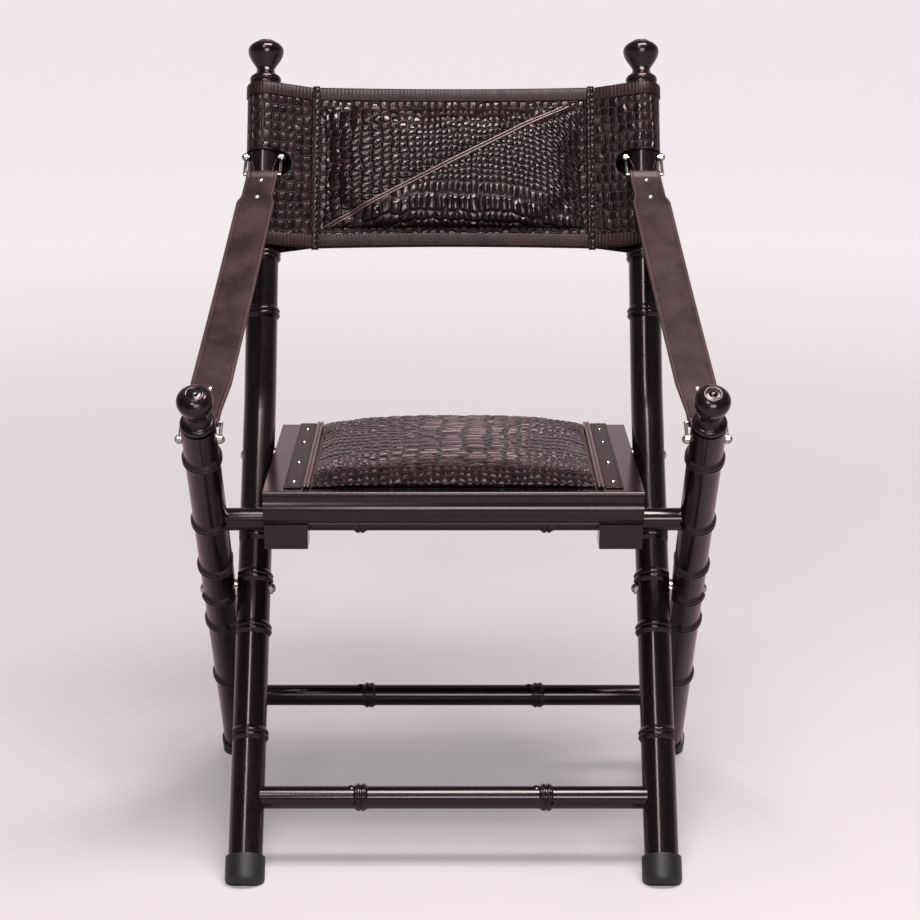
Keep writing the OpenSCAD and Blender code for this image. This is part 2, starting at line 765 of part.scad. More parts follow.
// Rail section from y0 to y1 with a thin bead over a full roll along its front
module nosed(y0, y1, z0, z1) {
    quirk = 3.5;
    roll_z = z1 - 2 * bead_r - roll_r;
    translate([y0 + roll_r, z0]) square([y1 - y0 - roll_r, z1 - z0]);
    translate([y0 + quirk, roll_z]) square([roll_r, z1 - bead_r - roll_z]);
    translate([y0 + roll_r, roll_z]) circle(r = roll_r, $fn = 96);
    translate([y0 + bead_r, z1 - 2 * bead_r]) square([y1 - y0 - bead_r, 2 * bead_r]);
    translate([y0 + bead_r, z1 - bead_r]) circle(r = bead_r, $fn = 48);
}

// Notch for the crossbar, with one raked side; its mouth is a hair narrower than its round top
module notch() {
    notch_reach = side_rail_h + block_h;
    mouth = notch_r - 0.03;
    rake_down = sin(lip_rake);
    rake = [cos(lip_rake), -rake_down];
    side = mouth * [rake_down, cos(lip_rake)];
    translate(bar_at) {
        circle(r = notch_r, $fn = 96);
        polygon([[-mouth, 0], [-mouth, -notch_reach], side + notch_reach / rake_down * rake, side]);
    }
}

module seat_rail_right() {
    color(lacquer) profile(rail_in, rail_w) difference() {
        nosed(seat_y0, seat_y1, rail_bottom, seat_h);
        notch();
        translate(hinge) circle(r = bolt_r + run_fit, $fn = 64);
    }
}
module seat_rail_left() left_side() seat_rail_right();

module seat_front_rail() {
    joint_gap = 0.05;
    color(lacquer) profile(-rail_in + joint_gap, 2 * (rail_in - joint_gap))
        nosed(seat_y0, seat_y0 + cross_rail_d, seat_h - rail_h, seat_h);
}

module seat_rear_rail() {
    joint_gap = 0.05;
    color(lacquer) profile(-rail_in + joint_gap, 2 * (rail_in - joint_gap)) difference() {
        translate([seat_y1 - cross_rail_d, seat_h - rail_h]) square([cross_rail_d, rail_h]);
        translate([seat_y1 + 3, seat_h + 3]) rotate(45) square(10, center = true);
    }
}

// Thin board between the rails, under the cushion
board_t = 9;
cushion_base = seat_h - 5;
board_y0 = seat_y0 + cross_rail_d + 0.05;
board_y1 = seat_y1 - cross_rail_d - 0.05;
module seat_board() {
    color(ply) translate([-rail_in + 0.05, board_y0, seat_h - board_t])
        cube([2 * rail_in - 0.1, board_y1 - board_y0, board_t]);
}

// Leather strip nailed along the inner edge of each side rail
strip_w = 21;
strip_t = 2;
strip_x0 = rail_in - 2;
strip_y0 = seat_y0 + 15.5;
strip_y1 = seat_y1 - 1;
nail_shares = [0.08, 0.366, 0.686, 0.898];
nail_y = [for (share = nail_shares) strip_y0 + share * (strip_y1 - strip_y0)];
module seat_strip_right() {
    color(hide) difference() {
        translate([strip_x0, strip_y0, seat_h + 0.05]) cube([strip_w, strip_y1 - strip_y0, strip_t]);
        for (y = nail_y) translate([strip_x0 + strip_w / 2, y, seat_h - 1])
            cylinder(r = 1.2 + snug_fit, h = 10, $fn = 32);
    }
}
module seat_strip_left() left_side() seat_strip_right();

module seat_nails() {
    color(nickel) both_sides() for (y = nail_y)
        translate([strip_x0 + strip_w / 2, y, seat_h + strip_t + 0.1]) {
            dome(nail_r, 2.2);
            translate([0, 0, -strip_t]) cylinder(r = 1.2, h = strip_t + 0.3, $fn = 32);
        }
}

// Raised piping between the strip and the cushion
pipe_r = 2.2;
module seat_piping_right() {
    color(hide) for (k = [0, 1])
        translate([strip_x0 - 0.2 - pipe_r - k * 2 * pipe_r * 0.9, strip_y0, seat_h + 0.1 + pipe_r])
            rotate([-90, 0, 0]) cylinder(r = pipe_r, h = strip_y1 - strip_y0, $fn = 32);
}
module seat_piping_left() left_side() seat_piping_right();

// Crowned leather cushion on the board and the cross rails
module seat_cushion() {
    half_x = strip_x0 - 4 * pipe_r - 1;
    color(croc) translate([0, (strip_y0 + strip_y1) / 2, seat_h + 0.1])
        crowned(half_x, (strip_y1 - strip_y0) / 2, 3, seat_crown - 3, 3);
}

// Blocks under the fronts of the side rails that drop over the crossbar, each with an inner cheek
// that rises beside the rail, behind the front rail's roll, and joins the block over the notch
block_y0 = seat_y0 + 13;
cheek_y0 = seat_y0 + 2 * roll_r + 0.2;
block_y1 = bar_at[0] + 40;
block_w = rail_w + cheek_t;
block_x0 = seat_half - block_w;
module notch_block_right() {
    color(lacquer) profile(block_x0, block_w - 0.4) difference() {
        translate([block_y0, rail_bottom - block_h]) square([block_y1 - block_y0, block_h - 0.05]);
        notch();
    }
    color(lacquer) profile(block_x0, rail_in - block_x0 - 0.05) difference() {
        union() {
            translate([cheek_y0, rail_bottom - 1])
                square([block_y1 - cheek_y0, seat_h - rail_h - rail_bottom + 0.9]);
            translate([board_y0, rail_bottom]) square([block_y1 - board_y0, side_rail_h - board_t - 2]);
        }
        notch();
    }
}
module notch_block_left() left_side() notch_block_right();

screw_y = [for (share = [0.35, 0.65]) block_y0 + share * (bar_at[0] - notch_r - block_y0)];
module block_screws() {
    color(nickel) both_sides() for (y = screw_y)
        translate([seat_half - block_w / 3, y, rail_bottom - block_h - 0.05]) rotate([180, 0, 0])
            dome(4, 1.6);
}

back_post_left();
back_post_right();
back_finial_left();
back_finial_right();
front_foot_left();
front_foot_right();
front_stretcher();
sling_leather();
sling_pad();
sling_bindings();
sling_seams();
sling_welts();
pivot_bolt_left();
pivot_bolt_right();
pivot_nut_left();
pivot_nut_right();
pivot_washers();
seat_pin_left();
seat_pin_right();
seat_washers();
back_strap_pin_left();
back_strap_pin_right();
back_rivets();
back_shackle_left();
back_shackle_right();
arm_post_left();
arm_post_right();
arm_finial_left();
arm_finial_right();
rear_foot_left();
rear_foot_right();
crossbar();
rear_stretcher();
arm_shackle_left();
arm_shackle_right();
arm_strap_pin_left();
arm_strap_pin_right();
arm_rivets();
arm_strap_left();
arm_strap_right();
seat_rail_left();
seat_rail_right();
seat_front_rail();
seat_rear_rail();
seat_board();
seat_cushion();
seat_strip_left();
seat_strip_right();
seat_piping_left();
seat_piping_right();
seat_nails();
notch_block_left();
notch_block_right();
block_screws();
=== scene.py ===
import json
import math

import bmesh
import bpy
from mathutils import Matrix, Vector
from mathutils.bvhtree import BVHTree
from mathutils.noise import noise

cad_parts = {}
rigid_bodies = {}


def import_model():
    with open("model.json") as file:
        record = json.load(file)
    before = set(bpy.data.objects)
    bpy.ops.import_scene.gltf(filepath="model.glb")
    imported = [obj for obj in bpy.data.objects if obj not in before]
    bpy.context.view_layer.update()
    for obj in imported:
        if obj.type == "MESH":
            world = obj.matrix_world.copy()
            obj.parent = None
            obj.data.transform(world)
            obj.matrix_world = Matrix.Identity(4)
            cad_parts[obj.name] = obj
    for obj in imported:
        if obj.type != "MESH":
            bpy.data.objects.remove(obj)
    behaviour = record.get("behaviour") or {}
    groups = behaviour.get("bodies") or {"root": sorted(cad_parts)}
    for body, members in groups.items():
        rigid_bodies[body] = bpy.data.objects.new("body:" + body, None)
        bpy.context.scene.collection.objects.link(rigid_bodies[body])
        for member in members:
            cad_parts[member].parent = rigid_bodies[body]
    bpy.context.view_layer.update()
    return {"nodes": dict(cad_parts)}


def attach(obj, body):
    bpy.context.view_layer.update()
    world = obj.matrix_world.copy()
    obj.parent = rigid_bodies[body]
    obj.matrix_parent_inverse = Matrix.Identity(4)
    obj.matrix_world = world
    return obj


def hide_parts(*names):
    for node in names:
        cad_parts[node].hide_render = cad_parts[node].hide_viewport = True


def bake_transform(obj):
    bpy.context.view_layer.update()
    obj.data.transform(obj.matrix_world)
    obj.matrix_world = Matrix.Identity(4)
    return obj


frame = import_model()
scene = bpy.context.scene
mm = 0.001
print("frame loaded")


def addObject(name, data):
    made = bpy.data.objects.new(name, data)
    scene.collection.objects.link(made)
    return made


cameraValues = {"place": (0, -2.8414, 1.1116), "tilt": 76.5, "lens": 95.87, "sensor": 36, "shift": 0.00707}


def makeCamera(values):
    data = bpy.data.cameras.new("portraitCamera")
    data.lens = values["lens"]
    data.sensor_width = values["sensor"]
    data.shift_x = values["shift"]
    camera = addObject("portraitCamera", data)
    camera.location = values["place"]
    camera.rotation_euler = (math.radians(values["tilt"]), 0, 0)
    scene.camera = camera


makeCamera(cameraValues)


def addNode(tree, kind, links=None, **settings):
    node = tree.nodes.new(kind)
    for name, value in settings.items():
        setattr(node, name, value)
    for name, value in (links or {}).items():
        if isinstance(value, bpy.types.NodeSocket):
            tree.links.new(value, node.inputs[name])
        else:
            node.inputs[name].default_value = value
    return node


def calc(tree, operation, *values):
    return addNode(tree, "ShaderNodeMath", dict(enumerate(values)), operation=operation).outputs[0]


def calcVector(tree, operation, links):
    return addNode(tree, "ShaderNodeVectorMath", links, operation=operation).outputs[0]


def cloud(tree, vector, scale, detail, output="Fac", **more):
    links = {"Vector": vector, "Scale": scale, "Detail": detail}
    links.update({name.capitalize(): value for name, value in more.items()})
    return addNode(tree, "ShaderNodeTexNoise", links).outputs[output]


def spread(tree, value, low, high, fromLow=0.0, fromHigh=1.0, curve="LINEAR"):
    links = {"Value": value, "From Min": fromLow, "From Max": fromHigh, "To Min": low, "To Max": high}
    return addNode(tree, "ShaderNodeMapRange", links, interpolation_type=curve).outputs[0]


def blendColour(tree, factor, low, high):
    mix = addNode(tree, "ShaderNodeMix", data_type="RGBA")
    tree.links.new(factor, mix.inputs["Factor"])
    for name, colour in (("A", low), ("B", high)):
        if isinstance(colour, bpy.types.NodeSocket):
            tree.links.new(colour, mix.inputs[name])
        else:
            mix.inputs[name].default_value = colour
    return mix.outputs["Result"]


def newMaterial(name, fixed):
    material = bpy.data.materials.new(name)
    material.use_nodes = True
    shader = material.node_tree.nodes["Principled BSDF"]
    for title, value in fixed.items():
        shader.inputs[title].default_value = value
    return material, material.node_tree, shader


def wire(tree, shader, colour, rough, height, depth):
    bump = addNode(tree, "ShaderNodeBump", {"Height": height, "Distance": depth, "Strength": 1.0})
    for title, socket in (("Base Color", colour), ("Roughness", rough), ("Normal", bump.outputs["Normal"])):
        tree.links.new(socket, shader.inputs[title])


def newGroup(name, kind, inputs, outputs, outKind="Float"):
    # A number stands for a float input with that default, a word for an input of another kind
    group = bpy.data.node_groups.new(name, kind)
    for title, value in inputs.items():
        named = isinstance(value, str)
        socketType = "NodeSocket" + (value if named else "Float")
        socket = group.interface.new_socket(title, in_out="INPUT", socket_type=socketType)
        if not named:
            socket.default_value = value
    for title in outputs:
        group.interface.new_socket(title, in_out="OUTPUT", socket_type="NodeSocket" + outKind)
    return group, group.nodes.new("NodeGroupInput"), group.nodes.new("NodeGroupOutput")


def giveOut(group, end, sockets):
    for title, socket in sockets.items():
        group.links.new(socket, end.inputs[title])
    return group


scaleValues = {"drift": 0.3, "dome": 0.26, "crease": (0.02, 0.10), "bulge": -1.2, "grain": 5.0, "fine": 0.04,
               "tone": 0.14}


def makeScaleGroup(name, kind):
    # Rows of soft squarish scales in the space of the leather's own cell map, for colour or for form
    v = scaleValues
    group, start, end = newGroup(name, kind, {"Cells": "Vector", "Wander": 0.5, "Order": 0.5},
                                 ("Height", "Crease", "Tone"))
    cells = start.outputs["Cells"]
    drift = cloud(group, cells, v["drift"], 1.0, "Color")
    centred = calcVector(group, "SUBTRACT", {0: drift, 1: (0.5, 0.5, 0.5)})
    pushed = calcVector(group, "SCALE", {0: centred, "Scale": start.outputs["Wander"]})
    moved = calcVector(group, "ADD", {0: cells, 1: pushed})
    links = {"Vector": moved, "Scale": 1.0, "Randomness": start.outputs["Order"]}
    edge, cell = [addNode(group, "ShaderNodeTexVoronoi", links, voronoi_dimensions="2D", feature=feature)
                  for feature in ("DISTANCE_TO_EDGE", "F1")]
    away, near = edge.outputs["Distance"], cell.outputs["Distance"]
    tone = addNode(group, "ShaderNodeSeparateXYZ", {0: cell.outputs["Color"]})
    dome = spread(group, away, 0.0, 1.0, 0.0, v["dome"], "SMOOTHSTEP")
    rounded = calc(group, "MULTIPLY_ADD", calc(group, "MULTIPLY", near, near), v["bulge"], dome)
    grained = calc(group, "MULTIPLY_ADD", cloud(group, moved, v["grain"], 3.0), v["fine"], rounded)
    return giveOut(group, end, {
        "Height": calc(group, "MULTIPLY_ADD", tone.outputs[0], v["tone"], grained),
        "Crease": spread(group, away, 1.0, 0.0, *v["crease"], "SMOOTHSTEP"), "Tone": tone.outputs[1]})


grainValues = {"pebble": 0.6, "fold": 240.0, "mottle": 26.0, "scuff": 70.0, "worn": (0.5, 0.75)}


def makeGrainGroup():
    # Fine pebbled grain and soft wear, for smooth hide and small trims
    v = grainValues
    group, start, end = newGroup("hideGrain", "ShaderNodeTree", {"Grain": 900.0},
                                 ("Height", "Mottle", "Scuff"))
    place = addNode(group, "ShaderNodeTexCoord").outputs["Object"]
    pebble = addNode(group, "ShaderNodeTexVoronoi", {"Vector": place, "Scale": start.outputs["Grain"]},
                     feature="F1")
    fold = cloud(group, place, v["fold"], 4.0)
    scuff = cloud(group, place, v["scuff"], 6.0, roughness=0.7)
    return giveOut(group, end, {
        "Height": calc(group, "MULTIPLY_ADD", pebble.outputs["Distance"], v["pebble"], fold),
        "Mottle": cloud(group, place, v["mottle"], 3.0), "Scuff": spread(group, scuff, 0.0, 1.0, *v["worn"])})


polishValues = {"haze": 11.0, "stretch": (1.0, 1.0, 0.12), "rub": 160.0, "rubbed": (0.45, 0.8)}


def makePolishGroup():
    # Rubbed lacquer: broad changes of gloss, streaks along the wood and a faint ripple
    v = polishValues
    group, start, end = newGroup("rubbedPolish", "ShaderNodeTree", {"Ripple": 90.0},
                                 ("Height", "Haze", "Rub"))
    place = addNode(group, "ShaderNodeTexCoord").outputs["Object"]
    drawn = addNode(group, "ShaderNodeMapping", {"Vector": place, "Scale": v["stretch"]}).outputs[0]
    return giveOut(group, end, {
        "Height": cloud(group, place, start.outputs["Ripple"], 2.0),
        "Haze": cloud(group, place, v["haze"], 5.0, roughness=0.6),
        "Rub": spread(group, cloud(group, drawn, v["rub"], 4.0), 0.0, 1.0, *v["rubbed"])})


scalePattern = makeScaleGroup("scalePattern", "ShaderNodeTree")
scaleForm = makeScaleGroup("scaleForm", "GeometryNodeTree")
hideGrain = makeGrainGroup()
rubbedPolish = makePolishGroup()

studioValues = {
    "half": 40, "floor": (0.34, 0.312, 0.322, 1), "pale": (0.83, 0.775, 0.80, 1), "near": 0.25, "far": 0.70,
    "fade": (-0.6, 5.0), "sky": (1.035, 0.958, 0.986, 1), "dim": (0.15, 0.14, 0.145, 1),
    "glow": (0.58, 0.53, 0.55, 1), "rear": (-0.15, 0.75), "high": (0.24, 0.6), "dimmed": 0.3,
    "strength": 0.85,
}
lampAim = (0, 0, 0.5)
# each lamp's place, size, watts and tint
lampValues = {
    "overheadLight": ((0.35, -0.6, 2.8), (1.6, 0.9), 125, (1, 0.95, 0.94)),
    "keyLight": ((0.4, -3.3, 1.5), (1.4, 0.8), 45, (1, 0.97, 0.98)),
    "frontLight": ((-0.75, -2.5, 3.0), (0.45, 1.0), 24, (1, 0.95, 0.94)),
}


def makeFloor(v):
    # The floor shows its own pale colour to the camera, and away from the chair in reflections too
    h = v["half"]
    mesh = bpy.data.meshes.new("studioFloor")
    mesh.from_pydata([(-h, -h, 0), (h, -h, 0), (h, h, 0), (-h, h, 0)], [], [(0, 1, 2, 3)])
    floor = addObject("studioFloor", mesh)
    material, tree, shader = newMaterial("paleFloor", {"Roughness": 0.8, "Base Color": v["floor"],
                                                       "Emission Color": v["pale"]})
    place = addNode(tree, "ShaderNodeTexCoord").outputs["Object"]
    away = addNode(tree, "ShaderNodeVectorMath", {0: place}, operation="LENGTH").outputs["Value"]
    path = addNode(tree, "ShaderNodeLightPath")
    camera, glossy = path.outputs["Is Camera Ray"], path.outputs["Is Glossy Ray"]
    seen = calc(tree, "MAXIMUM", calc(tree, "MAXIMUM", camera, glossy), path.outputs["Is Transmission Ray"])
    beyond = calc(tree, "MULTIPLY", spread(tree, away, 0.0, v["far"], *v["fade"], "SMOOTHSTEP"), seen)
    shown = calc(tree, "MULTIPLY_ADD", camera, v["near"], beyond)
    tree.links.new(shown, shader.inputs["Emission Strength"])
    mesh.materials.append(material)


def makeWorld(v):
    # Bright near the horizon behind the chair, dimmer higher up and in front, plain and pale to the camera
    world = bpy.data.worlds.new("studioWorld")
    world.use_nodes = True
    scene.world = world
    tree = world.node_tree
    way = addNode(tree, "ShaderNodeTexCoord").outputs["Generated"]
    parts = addNode(tree, "ShaderNodeSeparateXYZ", {0: way})
    rear = spread(tree, parts.outputs[1], 0.0, 1.0, *v["rear"], "SMOOTHSTEP")
    lit = calc(tree, "MULTIPLY", rear, spread(tree, parts.outputs[2], 1.0, v["dimmed"], *v["high"]))
    camera = addNode(tree, "ShaderNodeLightPath").outputs["Is Camera Ray"]
    shade = blendColour(tree, camera, blendColour(tree, lit, v["dim"], v["glow"]), v["sky"])
    tree.links.new(shade, tree.nodes["Background"].inputs["Color"])
    tree.nodes["Background"].inputs["Strength"].default_value = v["strength"]


def makeLamps():
    for name, (place, size, watts, tint) in lampValues.items():
        data = bpy.data.lights.new(name, "AREA")
        data.shape = "RECTANGLE"
        data.size, data.size_y = size
        data.energy = watts
        data.color = tint
        light = addObject(name, data)
        light.location = place
        light.rotation_euler = (Vector(lampAim) - Vector(place)).to_track_quat("-Z", "Y").to_euler()


makeFloor(studioValues)
makeWorld(studioValues)
makeLamps()
scene.view_settings.view_transform = "Standard"
print("studio ready")

# a full coat with a warm tint keeps the highlights on the blacks from turning cold
warmCoat = {"Coat Weight": 1.0, "Coat Tint": (1, 0.83, 0.86, 1)}
crocValues = {
    "fixed": {**warmCoat, "Coat Roughness": 0.14, "Coat IOR": 1.12, "Specular IOR Level": 0.34},
    # crease is painted shade: the creases between the scales are coloured darker than the scales
    "crease": (0.0022, 0.0014, 0.0015, 1), "scaleDark": (0.0032, 0.0017, 0.0018, 1),
    "scaleLight": (0.011, 0.0060, 0.0062, 1), "depth": 0.0014, "gloss": 0.13, "dull": 0.6, "varied": 0.2,
    "wander": 0.7, "order": 0.42, "raised": 0.0006,
}


def useScales(tree, kind, pattern, cells):
    links = {"Cells": cells, "Wander": crocValues["wander"], "Order": crocValues["order"]}
    return addNode(tree, kind, links, node_tree=pattern).outputs


def makeCroc(v):
    material, tree, shader = newMaterial("crocHide", v["fixed"])
    cells = addNode(tree, "ShaderNodeUVMap", uv_map="cells").outputs[0]
    scales = useScales(tree, "ShaderNodeGroup", scalePattern, cells)
    body = blendColour(tree, scales["Tone"], v["scaleDark"], v["scaleLight"])
    # painted shade: the creases between the scales are coloured darker
    colour = blendColour(tree, scales["Crease"], body, v["crease"])
    gloss = spread(tree, scales["Crease"], v["gloss"], v["dull"])
    rough = calc(tree, "MULTIPLY_ADD", scales["Tone"], v["varied"], gloss)
    wire(tree, shader, colour, rough, scales["Height"], v["depth"])
    return material


hideValues = {
    "hide": {"name": "bridleHide", "dark": (0.0115, 0.0076, 0.0080, 1), "light": (0.029, 0.0198, 0.0206, 1),
             "worn": (0.065, 0.045, 0.043, 1), "grain": 850.0, "depth": 0.00022, "rough": (0.44, 0.58),
             "level": 0.16},
    "trim": {"name": "trimHide", "dark": (0.0070, 0.0037, 0.0039, 1), "light": (0.015, 0.0086, 0.0090, 1),
             "worn": (0.04, 0.027, 0.026, 1), "grain": 1100.0, "depth": 0.00018, "rough": (0.42, 0.54),
             "level": 0.08},
    "welt": {"name": "weltHide", "dark": (0.020, 0.016, 0.016, 1), "light": (0.038, 0.031, 0.030, 1),
             "worn": (0.075, 0.062, 0.060, 1), "grain": 1100.0, "depth": 0.00008, "rough": (0.18, 0.26),
             "level": 0.7},
    "thread": {"name": "waxedThread", "dark": (0.016, 0.011, 0.010, 1), "light": (0.034, 0.024, 0.021, 1),
               "worn": (0.06, 0.045, 0.04, 1), "grain": 2600.0, "depth": 0.00008, "rough": (0.45, 0.6),
               "level": 0.3},
}
wearShares = {"edge": 0.55, "scuff": 0.25}


def makeHide(v):
    fixed = {**warmCoat, "Coat Roughness": 0.3, "Coat IOR": 1.16, "Specular IOR Level": v["level"]}
    material, tree, shader = newMaterial(v["name"], fixed)
    hide = addNode(tree, "ShaderNodeGroup", node_tree=hideGrain)
    hide.inputs["Grain"].default_value = v["grain"]
    mottle = hide.outputs["Mottle"]
    edgeWear = addNode(tree, "ShaderNodeAttribute", attribute_name="edgeWear").outputs["Fac"]
    base = blendColour(tree, spread(tree, mottle, 0, 1, 0.36, 0.64), v["dark"], v["light"])
    rubbed = calc(tree, "MULTIPLY", edgeWear, wearShares["edge"])
    patch = calc(tree, "MULTIPLY_ADD", hide.outputs["Scuff"], wearShares["scuff"], rubbed)
    wire(tree, shader, blendColour(tree, patch, base, v["worn"]), spread(tree, mottle, *v["rough"], 0.3, 0.7),
         hide.outputs["Height"], v["depth"])
    return material


polishedValues = {
    "lacquer": {"name": "blackLacquer",
                "fixed": {**warmCoat, "Coat Roughness": 0.14, "Coat IOR": 1.16, "Specular IOR Level": 0.38},
                "colours": ((0.0036, 0.0024, 0.0030, 1), (0.008, 0.0056, 0.0064, 1)),
                "rough": (0.15, 0.24), "depth": 0.00003, "ripple": 60.0},
    "nickel": {"name": "brightNickel", "fixed": {"Metallic": 1.0},
               "colours": ((0.40, 0.36, 0.345, 1), (0.58, 0.53, 0.51, 1)),
               "rough": (0.16, 0.30), "depth": 0.00004, "ripple": 400.0},
    "rubber": {"name": "footRubber", "fixed": {"Coat Weight": 0.05, "Coat Roughness": 0.4},
               "colours": ((0.0075, 0.0068, 0.0075, 1), (0.016, 0.014, 0.015, 1)),
               "rough": (0.38, 0.55), "depth": 0.00015, "ripple": 500.0},
}


def makePolished(v):
    material, tree, shader = newMaterial(v["name"], v["fixed"])
    polish = addNode(tree, "ShaderNodeGroup", node_tree=rubbedPolish)
    polish.inputs["Ripple"].default_value = v["ripple"]
    wire(tree, shader, blendColour(tree, polish.outputs["Rub"], *v["colours"]),
         spread(tree, polish.outputs["Haze"], *v["rough"], 0.3, 0.7), polish.outputs["Height"], v["depth"])
    return material


plyValues = {
    "fixed": {"Coat Weight": 0.1, "Coat Roughness": 0.35}, "stretch": (0.06, 1.0, 1.0), "grain": 150.0,
    "dark": (0.016, 0.009, 0.006, 1), "light": (0.05, 0.028, 0.017, 1), "rough": (0.4, 0.6), "depth": 0.0003,
}


def makePly(v):
    material, tree, shader = newMaterial("stainedPly", v["fixed"])
    place = addNode(tree, "ShaderNodeTexCoord").outputs["Object"]
    drawn = addNode(tree, "ShaderNodeMapping", {"Vector": place, "Scale": v["stretch"]}).outputs[0]
    grain = cloud(tree, drawn, v["grain"], 6.0, distortion=0.6)
    colour = blendColour(tree, spread(tree, grain, 0, 1, 0.3, 0.7), v["dark"], v["light"])
    wire(tree, shader, colour, spread(tree, grain, *v["rough"]), grain, v["depth"])
    return material


finishes = {"croc": makeCroc(crocValues), "ply": makePly(plyValues)}
finishes.update({title: makeHide(v) for title, v in hideValues.items()})
finishes.update({title: makePolished(v) for title, v in polishedValues.items()})
slotFinish = {"lacquered_wood": "lacquer", "croc_leather": "croc", "plain_leather": "trim",
              "rubber": "rubber", "nickel": "nickel", "plywood": "ply"}
pieceSlot = {"croc": "croc_leather", "nickel": "nickel"}


def dressCadNodes():
    for node in frame["nodes"].values():
        for part in [node] + list(node.children_recursive):
            for slot in part.material_slots:
                title = slot.material.name.split(".")[0] if slot.material else ""
                slot.material = finishes[slotFinish.get(title, "lacquer")]


dressCadNodes()
print("finishes ready")


def steps(first, last, count):
    return [first + (last - first) * k / count for k in range(count + 1)]


def eased(share):
    share = min(max(share, 0.0), 1.0)
    return share * share * (3 - 2 * share)


def hump(w, centre, width):
    return math.exp(-((w - centre) / width) ** 2)


def bothSides(half):
    # A section's first half, which ends in the middle, and its mirror image
    return half + [(-share, out) for share, out in half[-2::-1]]


def loft(name, rings, cells=None, closedAlong=False, closedRound=True, caps=False, smooth=True):
    # Joins rings of points into one skin; cells(i, j) gives the leather map at a ring and a point of it
    count, size = len(rings), len(rings[0])
    points = [tuple(p) for ring in rings for p in ring]
    faces, corners = [], []
    for i in range(count if closedAlong else count - 1):
        for j in range(size if closedRound else size - 1):
            a, b = i * size + j, i * size + (j + 1) % size
            c, d = ((i + 1) % count) * size + (j + 1) % size, ((i + 1) % count) * size + j
            faces.append((a, b, c, d))
            corners.append(((i, j), (i, j + 1), (i + 1, j + 1), (i + 1, j)))
    if caps:
        for first, turn in ((0, -1), (count - 1, 1)):
            faces.append(tuple(first * size + j for j in range(size))[::turn])
            corners.append(tuple((first, j) for j in range(size))[::turn])
    mesh = bpy.data.meshes.new(name)
    mesh.from_pydata(points, [], faces)
    if cells:
        layer = mesh.uv_layers.new(name="cells")
        layer.data.foreach_set("uv", [x for face in corners for corner in face for x in cells(*corner)])
    mesh.polygons.foreach_set("use_smooth", [smooth] * len(mesh.polygons))
    mesh.update()
    return addObject(name, mesh)


def reworked(piece, work):
    # Runs a change on the piece's mesh
    shape = bmesh.new()
    shape.from_mesh(piece.data)
    work(shape)
    shape.to_mesh(piece.data)
    shape.free()
    return piece


def faceOut(piece):
    def work(shape):
        bmesh.ops.remove_doubles(shape, verts=shape.verts, dist=1e-6)
        bmesh.ops.recalc_face_normals(shape, faces=shape.faces)

    return reworked(piece, work)


def discard(piece):
    old = piece.data
    bpy.data.objects.remove(piece)
    bpy.data.meshes.remove(old)


def settle(piece):
    # What the modifiers make becomes the piece's mesh
    depsgraph = bpy.context.evaluated_depsgraph_get()
    shown = piece.evaluated_get(depsgraph)
    mesh = bpy.data.meshes.new_from_object(shown, preserve_all_data_layers=True, depsgraph=depsgraph)
    piece.modifiers.clear()
    old = piece.data
    piece.data = mesh
    bpy.data.meshes.remove(old)
    return piece


def growWith(piece, tree, values):
    # Runs a geometry tree on the piece, its inputs set by their sockets' identifiers
    maker = piece.modifiers.new("maker", "NODES")
    maker.node_group = tree
    sockets = {item.name: item.identifier for item in tree.interface.items_tree if item.in_out == "INPUT"}
    for title, value in values.items():
        maker[sockets[title]] = value
    return settle(piece)


def merge(name, pieces):
    # Several meshes with one finish become one piece
    work = bmesh.new()
    for piece in pieces:
        work.from_mesh(piece.data)
        discard(piece)
    mesh = bpy.data.meshes.new(name)
    work.to_mesh(mesh)
    work.free()
    return addObject(name, mesh)


def paintWear(piece, wearAt):
    layer = piece.data.attributes.new("edgeWear", "FLOAT", "POINT")
    layer.data.foreach_set("value", [wearAt(p.co) for p in piece.data.vertices])


def finishPiece(piece, finish, body=None, stoodFor=()):
    if len(piece.data.materials):
        piece.data.materials[0] = finishes[finish]
    else:
        piece.data.materials.append(finishes[finish])
    pieceSlot.get(finish, "plain_leather")
    if body:
        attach(piece, body)
    if stoodFor:
        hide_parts(*stoodFor)
    return piece


def tube(name, path, radius, sides=10):
    # Round welt along a path of points, with domed ends
    rings = []
    for i, p in enumerate(path):
        ahead = (Vector(path[min(i + 1, len(path) - 1)]) - Vector(path[max(i - 1, 0)])).normalized()
        side = ahead.cross(Vector((0, 0, 1)))
        if side.length < 0.2:
            side = ahead.cross(Vector((0, 1, 0)))
        side.normalize()
        rings.append((Vector(p), side, side.cross(ahead), ahead, radius))
    taper = [(0.95, 0.25), (0.7, 0.7)]

    def end(ring, way, order):
        p, side, over, ahead, r = ring
        return [(p + ahead * way * r * out, side, over, ahead, r * size) for out, size in order]

    turns = [k * 2 * math.pi / sides for k in range(sides)]
    whole = end(rings[0], -1, taper) + rings + end(rings[-1], 1, taper[::-1])
    skin = [[p + (side * math.cos(t) + over * math.sin(t)) * r for t in turns]
            for p, side, over, ahead, r in whole]
    return faceOut(loft(name, skin, caps=True))


def rowTable(sizeAt, low, high, step=0.0005):
    # Running count of scale rows along a line whose row height changes from place to place
    table, total, place = [], 0.0, low
    while place <= high:
        table.append(total)
        total += step / sizeAt(place + step / 2)
        place += step

    def rows(w):
        f = min(max((w - low) / step, 0), len(table) - 1.001)
        k = int(f)
        return table[k] + (table[k + 1] - table[k]) * (f - k)

    return rows


